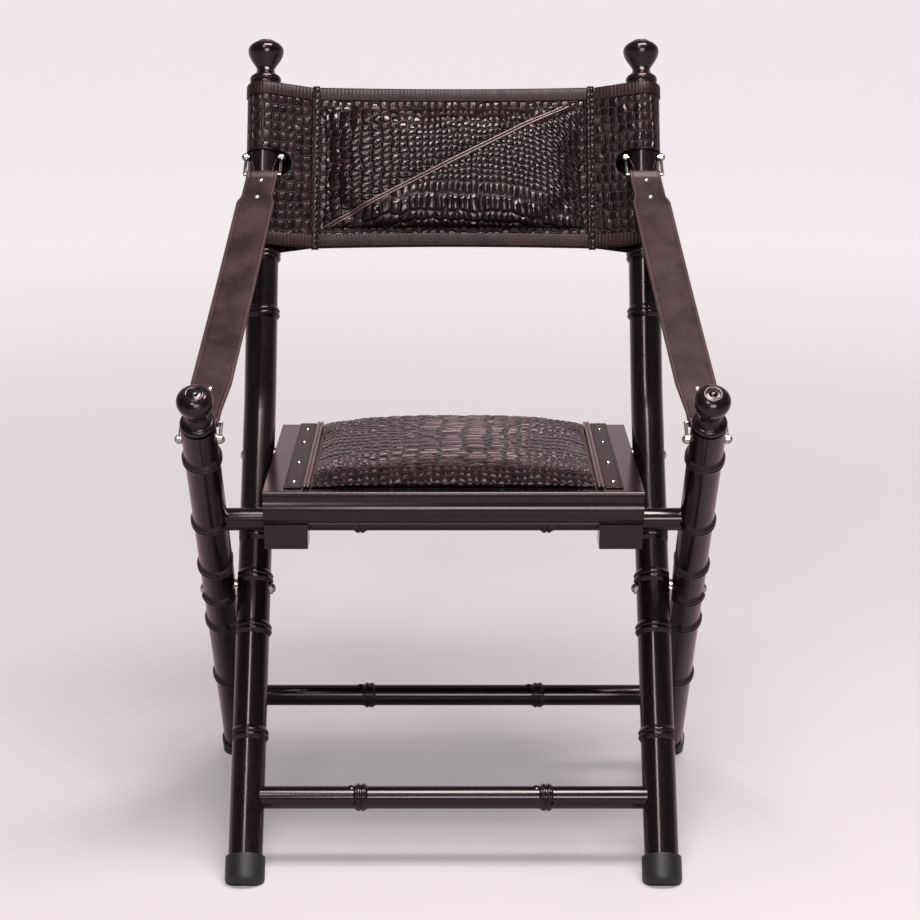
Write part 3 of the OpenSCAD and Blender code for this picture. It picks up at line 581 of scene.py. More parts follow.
slingValues = {
    "base": (0.16762, 0.65786), "lean": math.radians(25.5), "height": 0.211, "waist": 0.004,
    "postX": 0.236, "seamX": 0.177, "sheet": 2.2 * mm, "wrap": 20.9 * mm, "layer": 1.4 * mm,
    "slotR": 17.5 * mm, "slotX": 0.218, "slotZ": 0.1065, "slotDrop": 7.5 * mm, "step": 4.2 * mm,
    "rows": 54, "cell": (10.5 * mm, 12.5 * mm), "slack": 0.7 * mm, "slackIn": (4 * mm, 12 * mm),
    "cutRun": 0.06, "cutFrom": -0.04, "cutTo": 0.006, "leaves": (-0.3541, -0.935),
}
slingMiddle = slingValues["height"] / 2


def slingPoint(x, y, z):
    lean, base = slingValues["lean"], slingValues["base"]
    return Vector((x, base[0] + y * math.cos(lean) + z * math.sin(lean),
                   base[1] - y * math.sin(lean) + z * math.cos(lean)))


def toSling(p):
    # Back to the sling's own space
    lean, base = slingValues["lean"], slingValues["base"]
    dy, dz = p.y - base[0], p.z - base[1]
    return p.x, dy * math.cos(lean) - dz * math.sin(lean), dy * math.sin(lean) + dz * math.cos(lean)


def slingEdge(x):
    # How far the drawn-in edge lies inside the full height at x
    waist, half = slingValues["waist"], slingValues["postX"]
    radius = (half * half + waist * waist) / (2 * waist)
    return max(0.0, waist - radius + math.sqrt(radius * radius - min(abs(x), half) ** 2))


def slingPath(step):
    # Closed line round both posts at the middle of the leather, as (x, y, outward x, outward y)
    v = slingValues
    dx, dy = v["seamX"] - v["postX"], -v["layer"]
    begin = math.atan2(dy, dx) + 2 * math.pi + math.acos(v["wrap"] / math.hypot(dx, dy))
    touch = (v["postX"] + v["wrap"] * math.cos(begin), v["wrap"] * math.sin(begin))
    count = int(v["seamX"] / step)
    right = [(v["seamX"] * k / count, -v["layer"], 0.0, -1.0) for k in range(count)]
    run = (touch[0] - v["seamX"], touch[1] + v["layer"])
    length = math.hypot(*run)
    side = (run[1] / length, -run[0] / length)
    count = int(length / step)
    for k in range(count):
        t = k / count
        ease = eased(min(t * 2.5, 1))
        n = (side[0] * ease, -(1 - ease) + side[1] * ease)
        size = math.hypot(*n)
        right.append((v["seamX"] + run[0] * t, -v["layer"] + run[1] * t, n[0] / size, n[1] / size))
    total = 2 * (2 * math.pi - begin)
    count = int(v["wrap"] * total / step * 1.3)
    turns = [(math.cos(begin + total * k / count), math.sin(begin + total * k / count)) for k in range(count)]
    arc = [(v["postX"] + v["wrap"] * c, v["wrap"] * s, c, s) for c, s in turns]
    back = [(touch[0], -touch[1], side[0], -side[1])] + [(x, -y, nx, -ny) for x, y, nx, ny in right[::-1]]
    whole = right + arc + back
    mirrored = [(-x, y, -nx, ny) for x, y, nx, ny in whole[::-1]]
    # the first point of each half lies at x = 0 and is kept once
    return whole[:-1] + mirrored[:-1]


def slotCutter(side):
    v = slingValues
    low, high = v["slotZ"] - v["slotR"] - v["slotDrop"], v["slotZ"] + v["slotR"]
    outer = v["slotX"] + v["cutRun"]
    outline = [(v["slotX"], low), (outer, low), (outer, high)]
    outline += [(v["slotX"] - v["slotR"] * math.sin(a), v["slotZ"] + v["slotR"] * math.cos(a))
                for a in steps(0, math.pi, 32)]
    rings = [[slingPoint(side * x, y, z) for x, z in outline] for y in (v["cutFrom"], v["cutTo"])]
    return faceOut(loft("slotCutter", rings, caps=True, smooth=False))


def makeSlingLeather():
    v = slingValues
    path = slingPath(v["step"])
    lengths = [0.0]
    for a, b in zip(path, path[1:] + path[:1]):
        lengths.append(lengths[-1] + math.hypot(a[0] - b[0], a[1] - b[1]))

    def column(x, y, nx, ny):
        # the leather gives a little between the seam and the post
        edge, first, last = slingEdge(x), v["seamX"] + v["slackIn"][0], v["postX"] - v["slackIn"][1]
        give = v["slack"] * math.sin(math.pi * (abs(x) - first) / (last - first))
        if not first < abs(x) < last:
            give = 0.0
        points = []
        for z in steps(edge, v["height"] - edge, v["rows"] - 1):
            slack = give * noise(Vector((x * 30, y * 40, z * 34)))
            points.append(slingPoint(x + nx * slack, y + ny * slack, z))
        return points

    def cells(i, j):
        return lengths[i] / v["cell"][0], j * v["height"] / (v["rows"] - 1) / v["cell"][1]

    piece = loft("slingLeather", [column(*p) for p in path], cells, closedAlong=True, closedRound=False)
    thick = piece.modifiers.new("thick", "SOLIDIFY")
    thick.thickness = v["sheet"]
    thick.offset = 0
    settle(piece)

    def turnOut(shape):
        if shape.calc_volume(signed=True) < 0:
            bmesh.ops.reverse_faces(shape, faces=shape.faces)

    reworked(piece, turnOut)
    for side in (-1, 1):
        cutter = slotCutter(side)
        cut = piece.modifiers.new("slot", "BOOLEAN")
        cut.operation = "DIFFERENCE"
        cut.object = cutter
        cut.solver = "EXACT"
        settle(piece)
        discard(cutter)
    finishPiece(piece, "croc", "back_frame", ["sling_leather"])


bindingValues = {"reach": 16 * mm, "face": 1.15 * mm, "thick": 1.15 * mm, "step": 1.2 * mm, "rib": 0.3 * mm,
                 "pitch": 4.6 * mm, "rim": 1.35 * mm}


def edgeProfile():
    # Bound edge in (outward, height above the edge): up the outer face, over the top and a little inside
    reach, face, thick = bindingValues["reach"], bindingValues["face"], bindingValues["thick"]
    return [(face, -reach), (face + thick * 0.8, -reach + 0.3 * mm), (face + thick, -reach + 1.2 * mm),
            (face + thick, -reach * 0.5), (face + thick, -1.2 * mm), (face + thick * 0.6, 0.3 * mm),
            (0.4 * mm, 1.1 * mm), (-0.5 * mm, 1.0 * mm), (-1.1 * mm, 0.4 * mm), (-face, -1.0 * mm),
            (0.2 * mm, -1.0 * mm), (1.05 * mm, -2.4 * mm)]


def slotRim(side):
    # Follows the slot's edge on the middle of the leather, from the back over the arc and round again
    v = slingValues
    r = v["wrap"]

    def onLeather(x, z):
        # the front leather leaves the post at this share of the wrap, sideways and forwards
        dx = x - v["postX"]
        touch = v["leaves"][0] * r - 1 * mm
        if dx < touch:
            t = (x - v["seamX"]) / (v["postX"] + touch - v["seamX"])
            y = -v["layer"] + (v["leaves"][1] * r + v["layer"]) * t
        else:
            y = -math.sqrt(max(r * r - dx * dx, 0))
        return slingPoint(side * x, y, z)

    def roundPost(z, first, last):
        return [slingPoint(side * (v["postX"] + r * math.cos(a)), r * math.sin(a), z)
                for a in steps(first, last, 12)]

    back = math.asin(v["cutTo"] / r)
    front = -math.acos((v["slotX"] - v["postX"]) / r)
    upper = roundPost(v["slotZ"] + v["slotR"], back, front)
    lower = roundPost(v["slotZ"] - v["slotR"] - v["slotDrop"], front, back)
    arc = [onLeather(v["slotX"] - v["slotR"] * math.sin(a), v["slotZ"] + v["slotR"] * math.cos(a))
           for a in steps(0, math.pi, 28)[1:-1]]
    return upper + arc + lower


def makeBindings():
    v = bindingValues
    height = slingValues["height"]
    bands = []
    for top in (True, False):
        rings = []
        for k, (x, y, nx, ny) in enumerate(slingPath(v["step"])):
            edge = slingEdge(x)
            # fine ribs, drawn in by the stitching
            depth = v["rib"] * (0.6 + noise(Vector((k * 0.11, 4.0 * top, 0))))
            rib = depth * math.cos(k * v["step"] * 2 * math.pi / v["pitch"])
            ring = []
            for out, up in edgeProfile():
                out += rib if out > 1.5 * mm else 0
                ring.append(slingPoint(x + nx * out, y + ny * out, height - edge + up if top else edge - up))
            rings.append(ring)
        bands.append(faceOut(loft("band", rings, closedAlong=True)))
    # a rolled rim round each shackle slot
    rims = [tube("rim", slotRim(side), v["rim"], 8) for side in (-1, 1)]
    piece = merge("slingBindings", bands + rims)
    paintWear(piece, lambda p: 0.1)
    finishPiece(piece, "trim", "back_frame", ["sling_bindings"])


makeSlingLeather()
makeBindings()
print("sling and bindings made")

seamValues = {"width": 11 * mm, "edgeX": 0.172, "below": 4.0 * mm, "above": 1.6 * mm, "swell": 0.25 * mm,
              "cell": (0.48, 0.36)}


def makeSeams():
    v = seamValues
    edge = slingEdge(v["edgeX"])
    section = bothSides([(-1, 2.5), (-0.97, 3.9), (-0.8, 4.8), (-0.4, 5.15), (0.0, 5.25)])
    section += [(0.6, 2.45), (-0.6, 2.45)]
    bands = []
    for side in (-1, 1):
        rings = []
        for k, z in enumerate(steps(edge - v["below"], slingValues["height"] - edge + v["above"], 60)):
            half = v["width"] / 2 * (1.0 if 1 < k < 59 else 0.8)
            swell = v["swell"] * noise(Vector((side * 3, 0, z * 90)))
            centre = side * (slingValues["seamX"] - v["width"] / 2)
            rings.append([slingPoint(centre + share * half, -out * mm - (swell if out > 3 else 0), z)
                          for share, out in section])

        def cells(i, j):
            return i * v["cell"][0], j * v["cell"][1] + 0.4 * side

        bands.append(faceOut(loft("seam", rings, cells, caps=True)))
    finishPiece(merge("slingSeams", bands), "croc", "back_frame", ["sling_seams"])


makeSeams()

padValues = {
    "halfX": 0.1645, "halfZ": 0.0843, "edge": 2.5 * mm, "crown": 11.0 * mm, "draw": 3 * mm, "front": 2.6 * mm,
    "cap": 7 * mm, "voxel": 4.4 * mm, "belly": 7.0 * mm, "bellyAt": -69 * mm, "bellyUp": 24 * mm,
    "bellyDown": 11 * mm, "roll": 4.2 * mm, "rollAt": 62 * mm, "rollWidth": 13 * mm, "sunk": 2.6 * mm,
    "sunkWidth": 7.5 * mm,
}
# sizes of the pad's scales: small all over, tall in the belt along the belly and under the top edge
padScales = {
    "small": 7.4 * mm, "belt": 18.5 * mm, "beltWidth": 16 * mm, "beltAt": -46 * mm, "sag": 36 * mm,
    "crowd": 0.45, "upper": 8.0 * mm, "ridge": 5.0 * mm, "ridgeAt": 66 * mm, "ridgeWidth": 15 * mm,
    "left": 5.5 * mm, "leftFrom": 0.02, "leftOver": 0.09, "right": 1.0 * mm, "rightFrom": 0.08,
    "rightOver": 0.06, "arch": 10 * mm, "span": 0.165, "slant": 0.05, "slantFrom": 0.05,
    "upperStart": (60.3, 40.2), "lowerStart": (5.1, 0.5),
}
weltValues = {"from": (-0.965, -0.95), "to": (0.87, 0.94), "radius": 1.5 * mm, "apart": 1.7 * mm,
              "bite": 0.35 * mm}


def pillowRise(a, b):
    return math.sqrt(max((1 - a * a) * (1 - b * b), 0))


def crownedForm(name, v, halfY, place, nx, ny, rise):
    # Closed pillow form on a flat base, in its own (x, y, height) space
    def spaced(k, n):
        return -math.cos(math.pi * k / n) * 0.35 + (2 * k / n - 1) * 0.65

    top, base = [], []
    for b in [spaced(j, ny) for j in range(ny + 1)]:
        for a in [spaced(i, nx) for i in range(nx + 1)]:
            x, y = a * (v["halfX"] - v["draw"] * (1 - b * b)), b * (halfY - v["draw"] * (1 - a * a))
            top.append(place(x, y, v["edge"] + v["crown"] * rise(a, b)))
            base.append(place(x, y, 0))
    m = nx + 1
    k = len(top)
    faces = []
    for j in range(ny):
        for i in range(nx):
            q = j * m + i
            faces.append((q, q + 1, q + m + 1, q + m))
            faces.append((k + q + m, k + q + m + 1, k + q + 1, k + q))
    for i in range(nx):
        faces.append((k + i, k + i + 1, i + 1, i))
        q = ny * m + i
        faces.append((q, q + 1, k + q + 1, k + q))
    for j in range(ny):
        q = j * m
        faces.append((q, q + m, k + q + m, k + q))
        q = j * m + nx
        faces.append((k + q, k + q + m, q + m, q))
    mesh = bpy.data.meshes.new(name)
    mesh.from_pydata([tuple(p) for p in top + base], [], faces)
    return faceOut(addObject(name, mesh))


clothValues = {"quality": 6, "mass": 0.4, "tension_stiffness": 22, "compression_stiffness": 22,
               "bending_stiffness": 0.6, "use_pressure": True, "uniform_pressure_force": 4.0,
               "shrink_min": -0.03}
clothFrames = 20


def inflate(piece, values, heldAt):
    # Voxel remesh, then cloth under pressure with its base held, each point's way capped
    voxels = piece.modifiers.new("voxels", "REMESH")
    voxels.mode = "VOXEL"
    voxels.voxel_size = values["voxel"]
    settle(piece)
    before = [p.co.copy() for p in piece.data.vertices]
    held = piece.vertex_groups.new(name="held")
    held.add([p.index for p in piece.data.vertices if heldAt(p.co)], 1.0, "REPLACE")
    cloth = piece.modifiers.new("cloth", "CLOTH")
    for name, value in clothValues.items():
        setattr(cloth.settings, name, value)
    cloth.settings.effector_weights.gravity = 0
    cloth.settings.vertex_group_mass = "held"
    cloth.point_cache.frame_start = 1
    cloth.point_cache.frame_end = clothFrames
    for k in range(1, clothFrames + 1):
        scene.frame_set(k)
    depsgraph = bpy.context.evaluated_depsgraph_get()
    after = [p.co.copy() for p in piece.evaluated_get(depsgraph).data.vertices]
    piece.modifiers.clear()
    piece.vertex_groups.clear()
    scene.frame_set(1)
    for p, old, new in zip(piece.data.vertices, before, after):
        way = new - old
        if way.length > values["cap"]:
            way *= values["cap"] / way.length
        p.co = old + way

    def soften(shape):
        for k in range(3):
            bmesh.ops.smooth_vert(shape, verts=shape.verts, factor=0.4, use_axis_x=True, use_axis_y=True,
                                  use_axis_z=True)

    reworked(piece, soften)
    finer = piece.modifiers.new("finer", "SUBSURF")
    finer.levels = finer.render_levels = 1
    settle(piece)
    piece.data.polygons.foreach_set("use_smooth", [True] * len(piece.data.polygons))
    return piece


def mapCells(piece, cellAt):
    mesh = piece.data
    layer = mesh.uv_layers.new(name="cells")
    for face in mesh.polygons:
        centre = face.center
        for k in face.loop_indices:
            layer.data[k].uv = cellAt(mesh.vertices[mesh.loops[k].vertex_index].co, centre)


def newGeometryTree(name, inputs):
    return newGroup(name, "GeometryNodeTree", {"Geometry": "Geometry", **inputs}, ["Geometry"], "Geometry")


def closeTree(tree, end, geometry, finish, smooth=False):
    # The ending of every geometry tree: instances made real, then the finish
    shape = addNode(tree, "GeometryNodeRealizeInstances", {0: geometry}).outputs[0]
    if smooth:
        shape = addNode(tree, "GeometryNodeSetShadeSmooth", {0: shape}).outputs[0]
    done = addNode(tree, "GeometryNodeSetMaterial", {"Geometry": shape, "Material": finish})
    return giveOut(tree, end, {"Geometry": done.outputs[0]})


def makeRaisedTree():
    # Lifts each scale out of a padded piece along its normal, as far as the piece's own relief says
    tree, start, end = newGeometryTree("raisedScales", {"Depth": 0.001, "Finish": "Material"})
    cells = addNode(tree, "GeometryNodeInputNamedAttribute", {"Name": "cells"}, data_type="FLOAT_VECTOR")
    share = addNode(tree, "GeometryNodeInputNamedAttribute", {"Name": "relief"}, data_type="FLOAT")
    scales = useScales(tree, "GeometryNodeGroup", scaleForm, cells.outputs["Attribute"])
    lift = calc(tree, "MULTIPLY", calc(tree, "SUBTRACT", scales["Height"], 0.6), start.outputs["Depth"])
    shown = calc(tree, "MULTIPLY", lift, share.outputs["Attribute"])
    normal = addNode(tree, "GeometryNodeInputNormal").outputs[0]
    way = calcVector(tree, "SCALE", {0: normal, "Scale": shown})
    moved = addNode(tree, "GeometryNodeSetPosition", {"Geometry": start.outputs["Geometry"], "Offset": way})
    return closeTree(tree, end, moved.outputs[0], start.outputs["Finish"])


raisedScales = makeRaisedTree()


def raiseScales(piece, reliefAt):
    layer = piece.data.attributes.new("relief", "FLOAT", "POINT")
    layer.data.foreach_set("value", [reliefAt(p.co) for p in piece.data.vertices])
    piece.data.materials.append(finishes["croc"])
    finer = piece.modifiers.new("finer", "SUBSURF")
    finer.levels = finer.render_levels = 1
    growWith(piece, raisedScales, {"Depth": crocValues["raised"], "Finish": finishes["croc"]})


weltEnds = [Vector((weltValues[end][0] * padValues["halfX"], weltValues[end][1] * padValues["halfZ"]))
            for end in ("from", "to")]
weltRun = weltEnds[1] - weltEnds[0]


def overWelt(x, z):
    # Signed distance from the line that the double welt follows, in the pad's own plane
    return ((z - weltEnds[0].y) * weltRun.x - (x - weltEnds[0].x) * weltRun.y) / weltRun.length


def makeSlingPad():
    v, s = padValues, padScales

    def place(x, y, h):
        return slingPoint(x, -v["front"] - h, slingMiddle + y)

    piece = crownedForm("slingPad", v, v["halfZ"], place, 60, 34, pillowRise)
    inflate(piece, v, lambda p: toSling(p)[1] > -v["front"] - 1.5 * mm)
    for p in piece.data.vertices:
        x, y, z = toSling(p.co)
        z -= slingMiddle
        y = min(y, -v["front"] + 0.02 * mm)
        if y < -v["front"] - 1.2 * mm:
            # the belly hangs low, the top edge is rolled, and the welt draws the hide in
            along = max(0.0, 1 - (x / v["halfX"]) ** 4)
            width = v["bellyUp"] if z > v["bellyAt"] else v["bellyDown"]
            y -= v["belly"] * hump(z, v["bellyAt"], width) * along
            y -= v["roll"] * hump(z, v["rollAt"], v["rollWidth"]) * along
            y += v["sunk"] * hump(overWelt(x, z), 0, v["sunkWidth"]) * min(1, (-v["front"] - y) / (6 * mm))
            y = min(y, -v["front"] - 1.0 * mm)
        x = min(max(x, -v["halfX"]), v["halfX"])
        z = min(max(z, -v["halfZ"] - 1 * mm), v["halfZ"] + 1 * mm)
        p.co = slingPoint(x, y, z + slingMiddle)
    rowsLow = rowTable(lambda w: s["small"] + s["belt"] * hump(w, 0, s["beltWidth"]), -0.45, 0.45)
    rowsHigh = rowTable(lambda w: s["upper"] + s["ridge"] * hump(w, s["ridgeAt"], s["ridgeWidth"]), -0.2, 0.2)

    def widthAt(w):
        left = s["left"] * eased((-w - s["leftFrom"]) / s["leftOver"])
        return s["small"] + left + s["right"] * eased((w - s["rightFrom"]) / s["rightOver"])

    across = rowTable(widthAt, -0.25, 0.25)

    def cellAt(p, centre):
        x, y, z = toSling(p)
        cx, _, cz = toSling(centre)
        z -= slingMiddle
        reach = abs(x) / s["span"]
        if overWelt(cx, cz - slingMiddle) > 0:
            first, level = s["upperStart"]
            return across(x) + first, rowsHigh(z + s["arch"] * reach ** 2) + level
        first, level = s["lowerStart"]
        above = z - s["beltAt"] + s["sag"] * reach ** 2.6
        rows = rowsLow(above * (1 + s["crowd"] * reach ** 4)) - rowsLow(0)
        return across(x + s["slant"] * (z + s["slantFrom"]) * x / s["span"]) + first, rows + level

    mapCells(piece, cellAt)
    raiseScales(piece, lambda p: eased((-v["front"] - toSling(p)[1]) / (4 * mm)))
    finishPiece(piece, "croc", "back_frame", ["sling_pad"])
    return piece


slingPad = makeSlingPad()
print("sling pad made")


def makeWelts():
    v = weltValues
    pad = slingPad.data
    tree = BVHTree.FromPolygons([p.co.copy() for p in pad.vertices],
                                [tuple(face.vertices) for face in pad.polygons])
    aside = Vector((-weltRun.y, weltRun.x)).normalized()
    ahead = slingPoint(0, 1, 0) - slingPoint(0, 0, 0)
    tubes = []
    for side in (-1, 1):
        path = []
        for t in steps(0, 1, 90):
            q = weltEnds[0] + weltRun * t + aside * side * v["apart"]
            hit = tree.ray_cast(slingPoint(q.x, -0.08, slingMiddle + q.y), ahead)[0]
            if hit is not None:
                path.append(hit - ahead * v["bite"])
        for k in range(2):
            inner = [(path[i - 1] + path[i] * 2 + path[i + 1]) / 4 for i in range(1, len(path) - 1)]
            path = [path[0]] + inner + [path[-1]]
        tubes.append(tube("weltTube", path, v["radius"]))
    piece = merge("slingWelts", tubes)
    paintWear(piece, lambda p: 0.8)
    finishPiece(piece, "welt", "back_frame", ["sling_welts"])


makeWelts()

# the run is the strap's direction from its back bar to its arm bar, seen from the side
strapValues = {
    "back": (0.18123, 0.74834), "run": (-0.8706, -0.4919), "length": 0.4569, "backX": 0.236,
    "armX": 0.2766, "width": 46 * mm, "endWidth": 38 * mm, "tab": 44 * mm, "flare": 15 * mm,
    "armTab": 20 * mm, "taper": 45 * mm, "layer": 1.2 * mm, "loop": 4.4 * mm, "loopRun": 9 * mm,
    "half": 1.05 * mm, "play": 0.95 * mm, "bow": 2.6 * mm, "wave": 0.22 * mm, "along": 150, "round": 18,
}


def strapPoint(side, x, v, h):
    run, back = strapValues["run"], strapValues["back"]
    return Vector((side * x, back[0] + run[0] * v + run[1] * h, back[1] + run[1] * v - run[0] * h))


def strapCentre(v):
    s = strapValues
    return s["backX"] + (s["armX"] - s["backX"]) * v / s["length"]


def strapWidth(v):
    s = strapValues
    v = min(max(v, 0), s["length"])
    share = min(eased((v - s["tab"]) / s["flare"]), max((s["length"] - v - s["armTab"]) / s["taper"], 0))
    return s["endWidth"] + (s["width"] - s["endWidth"]) * min(share, 1)


def strapBow(v):
    # The strap hangs a little slack between its bars
    s = strapValues
    return -s["bow"] * math.sin(math.pi * min(max(v / s["length"], 0), 1)) ** 1.5


def strapRise(v):
    # Half the distance of the two layers, which part round the bars
    s = strapValues
    return s["layer"] + (s["loop"] - s["layer"]) * (1 - eased(min(v, s["length"] - v) / s["loopRun"]))


def strapLoopPath():
    # Closed line over the top layer, round the arm bar, back along the under layer and round the back bar
    s = strapValues
    path = []
    ends = (s["play"], s["length"] - s["play"])
    for way, (first, last) in ((1, ends), (-1, ends[::-1])):
        path += [(v, way * strapRise(v) + strapBow(v)) for v in steps(first, last, s["along"])[:-1]]
        for a in steps(way * math.pi / 2, way * math.pi / 2 - math.pi, s["round"])[:-1]:
            path.append((last + s["loop"] * math.cos(a), s["loop"] * math.sin(a)))
    return path


def makeStrap(side, name):
    s = strapValues
    path = strapLoopPath()
    section = bothSides([(-1, 0.0), (-0.99, 0.62), (-0.965, 1.0), (-0.92, 1.28), (-0.87, 1.32), (-0.83, 1.16),
                         (-0.805, 0.86), (-0.785, 0.84), (-0.75, 1.0), (-0.6, 1.04), (-0.3, 1.08), (0, 1.1)])
    section += bothSides([(0.985, -0.7), (0.94, -1.0), (0.5, -1.02), (0, -1.02)])
    rings = []
    for i, (v, h) in enumerate(path):
        before, after = path[i - 1], path[(i + 1) % len(path)]
        run = Vector((after[0] - before[0], after[1] - before[1])).normalized()
        out = Vector((-run.y, run.x))
        ring = []
        for share, lift in section:
            place = lift * s["half"]
            if lift > 0 and abs(share) < 0.7:
                place += s["wave"] * noise(Vector((side * 5 + share * 0.8, v * 22, h * 60)))
            x = strapCentre(v) + share * strapWidth(v) / 2
            ring.append(strapPoint(side, x, v + out.x * place, h + out.y * place))
        rings.append(ring)
    piece = faceOut(loft(name, rings, closedAlong=True))

    def wearAt(p):
        v = (p.y - s["back"][0]) * s["run"][0] + (p.z - s["back"][1]) * s["run"][1]
        share = abs(abs(p.x) - strapCentre(v)) / (strapWidth(v) / 2)
        return 0.9 * eased((share - 0.8) / 0.12)

    paintWear(piece, wearAt)
    return finishPiece(piece, "hide")


def bendWithStrap(piece):
    start, end = [tuple(strapPoint(0, 0, strapValues["length"] * share, 0)) for share in (0.2, 0.96)]
    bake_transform(piece)
    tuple(start)
    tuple(end)


for side, word in ((-1, "Left"), (1, "Right")):
    strap = makeStrap(side, "armStrap" + word)
    bendWithStrap(strap)
    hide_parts("arm_strap_" + word.lower())
print("arm straps made")

seatValues = {
    "top": 0.4430, "front": -0.1941, "back": 0.1314, "stripIn": 0.1691, "strip": 21 * mm,
    "dip": 0.45 * mm, "dipWidth": 5 * mm, "nailX": 0.1796, "nails": (0.08, 0.366, 0.686, 0.898),
    "pipe": 2.2 * mm, "pipeApart": 1.85, "wave": 0.25 * mm,
}
seatMiddle = (seatValues["back"] + seatValues["front"]) / 2
seatDepth = seatValues["back"] - seatValues["front"]
nailRows = [seatValues["front"] + share * seatDepth for share in seatValues["nails"]]


def makeStrips():
    v = seatValues
    half = v["strip"] / 2
    section = bothSides([(-1, 0.15), (-0.99, 1.2), (-0.95, 1.85), (-0.86, 2.1), (-0.78, 1.95), (-0.74, 1.7),
                         (-0.68, 1.85), (-0.3, 2.0), (0, 2.02)]) + [(0, 0.08)]
    bands = []
    for side in (-1, 1):
        rings = []
        for k, y in enumerate(steps(v["front"] + 0.1 * mm, v["back"] - 0.1 * mm, 90)):
            squeeze = 1.0 if 0 < k < 90 else 0.96
            ring = []
            for share, h in section:
                # each nail draws the leather down
                away = [math.hypot(y - nail, share * half) for nail in nailRows]
                dip = sum(v["dip"] * hump(d, 0, v["dipWidth"]) for d in away)
                x = side * (v["stripIn"] + half) + share * half * squeeze
                ring.append(Vector((x, y, v["top"] + h * mm - (dip if h > 1 else 0))))
            rings.append(ring)
        bands.append(faceOut(loft("stripBand", rings, caps=True)))
    piece = merge("seatStrips", bands)
    paintWear(piece, lambda p: 0.5 * eased((abs(abs(p.x) - v["stripIn"] - half) / half - 0.75) / 0.2))
    finishPiece(piece, "trim", "seat", ["seat_strip_left", "seat_strip_right"])


def makePiping():
    v = seatValues
    pipe = v["pipe"]
    tubes = []
    for side in (-1, 1):
        for k in (0, 1):
            x = side * (v["stripIn"] - 0.2 * mm - pipe - k * v["pipeApart"] * pipe)
            path = []
            for y in steps(v["front"] + pipe, v["back"] - pipe, 70):
                wave = v["wave"] * noise(Vector((side * 9 + k, y * 40, 0)))
                path.append(Vector((x, y, v["top"] + 0.2 * mm + pipe + wave)))
            tubes.append(tube("pipeTube", path, pipe, 12))
    piece = merge("seatPiping", tubes)
    paintWear(piece, lambda p: 0.3)
    finishPiece(piece, "welt", "seat", ["seat_piping_left", "seat_piping_right"])


cushionValues = {"halfX": 0.1605, "edge": 3.0 * mm, "crown": 17.5 * mm, "ramp": 0.24, "full": 0.72,
                 "draw": 0.5 * mm, "cap": 9 * mm, "voxel": 4.6 * mm, "hold": 0.7, "uneven": 0.6 * mm}
# sizes of the cushion's scales: large ones along the front, wide ribs in the middle, small ones elsewhere
cushionScales = {"frontY": -0.158, "arch": 16 * mm, "front": (8.8 * mm, 10.5 * mm), "start": (60.3, 20.5),
                 "rows": (8.5 * mm, 8.0 * mm), "rowsAt": -0.06, "across": (5.6 * mm, 23 * mm), "swell": 0.07,
                 "span": 0.16, "bend": 30 * mm, "bendFrom": 0.16, "narrow": 0.10, "narrowFrom": 0.1,
                 "over": 0.2}


def cushionRise(a, b):
    # Full at the sides, with a sloping front and back
    v = cushionValues
    a, b = min(abs(a), 1), min(abs(b), 1)
    slope = 1 - max(1 - (1 - b) / v["ramp"], 0) ** 2
    return v["full"] * slope * (1 - a * a) ** 0.45 + (1 - v["full"]) * (1 - a * a) * (1 - b * b)


def makeCushion():
    v, s = cushionValues, cushionScales
    front, back = seatValues["front"], seatValues["back"]
    halfY = seatDepth / 2
    base = seatValues["top"] + 0.15 * mm

    def place(x, y, h):
        return Vector((x, seatMiddle + y, base + h))

    piece = crownedForm("seatCushion", v, halfY, place, 60, 60, cushionRise)
    inflate(piece, v, lambda p: p.z < base + 1.5 * mm)
    stretch = v["halfX"] / max(abs(p.co.x) for p in piece.data.vertices)
    for p in piece.data.vertices:
        x, y, z = p.co
        x *= stretch
        y = min(max(y, front), back)
        z = max(z, base)
        if z > base + 2 * mm:
            # the hide is stretched over its filling, so that it keeps near the plain dome, a little uneven
            dome = base + v["edge"] + v["crown"] * cushionRise(x / v["halfX"], (y - seatMiddle) / halfY)
            z += (dome - z) * v["hold"] + v["uneven"] * noise(Vector((x * 24, y * 24, 3.0)))
        p.co = (x, y, z)
    rows = rowTable(lambda w: s["rows"][0] + s["rows"][1] * hump(w, s["rowsAt"], s["swell"]), -0.3, 0.3)
    across = rowTable(lambda w: s["across"][0] + s["across"][1] * hump(w, 0, s["swell"]), -0.25, 0.25)

    def cellAt(p, centre):
        span, over = s["span"], s["over"]
        if centre.y < s["frontY"] - s["arch"] * (centre.x / span) ** 2:
            y = p.y - s["frontY"] + s["arch"] * (p.x / span) ** 2
            return p.x / s["front"][0] + s["start"][0], y / s["front"][1] + s["start"][1]
        bend = s["bend"] * (p.x / span) ** 2 * eased((p.y + s["bendFrom"]) / over)
        narrow = 1 - s["narrow"] * eased((p.y + s["narrowFrom"]) / over)
        return across(p.x * narrow), rows(p.y - bend)

    mapCells(piece, cellAt)
    raiseScales(piece, lambda p: eased((p.z - base) / (4 * mm)))
    finishPiece(piece, "croc", "seat", ["seat_cushion"])


makeStrips()
makePiping()
makeCushion()
print("seat covering made")


def scaledBall(tree, start, across, along, segments, rings, radius):
    # A ball whose three sizes come from the tree's inputs
    ball = addNode(tree, "GeometryNodeMeshUVSphere", {"Segments": segments, "Rings": rings, "Radius": radius})
    width, length = start.outputs[across], start.outputs[along]
    size = addNode(tree, "ShaderNodeCombineXYZ", {0: width, 1: width, 2: length}).outputs[0]
    return addNode(tree, "GeometryNodeTransform", {"Geometry": ball.outputs[0], "Scale": size}).outputs[0]


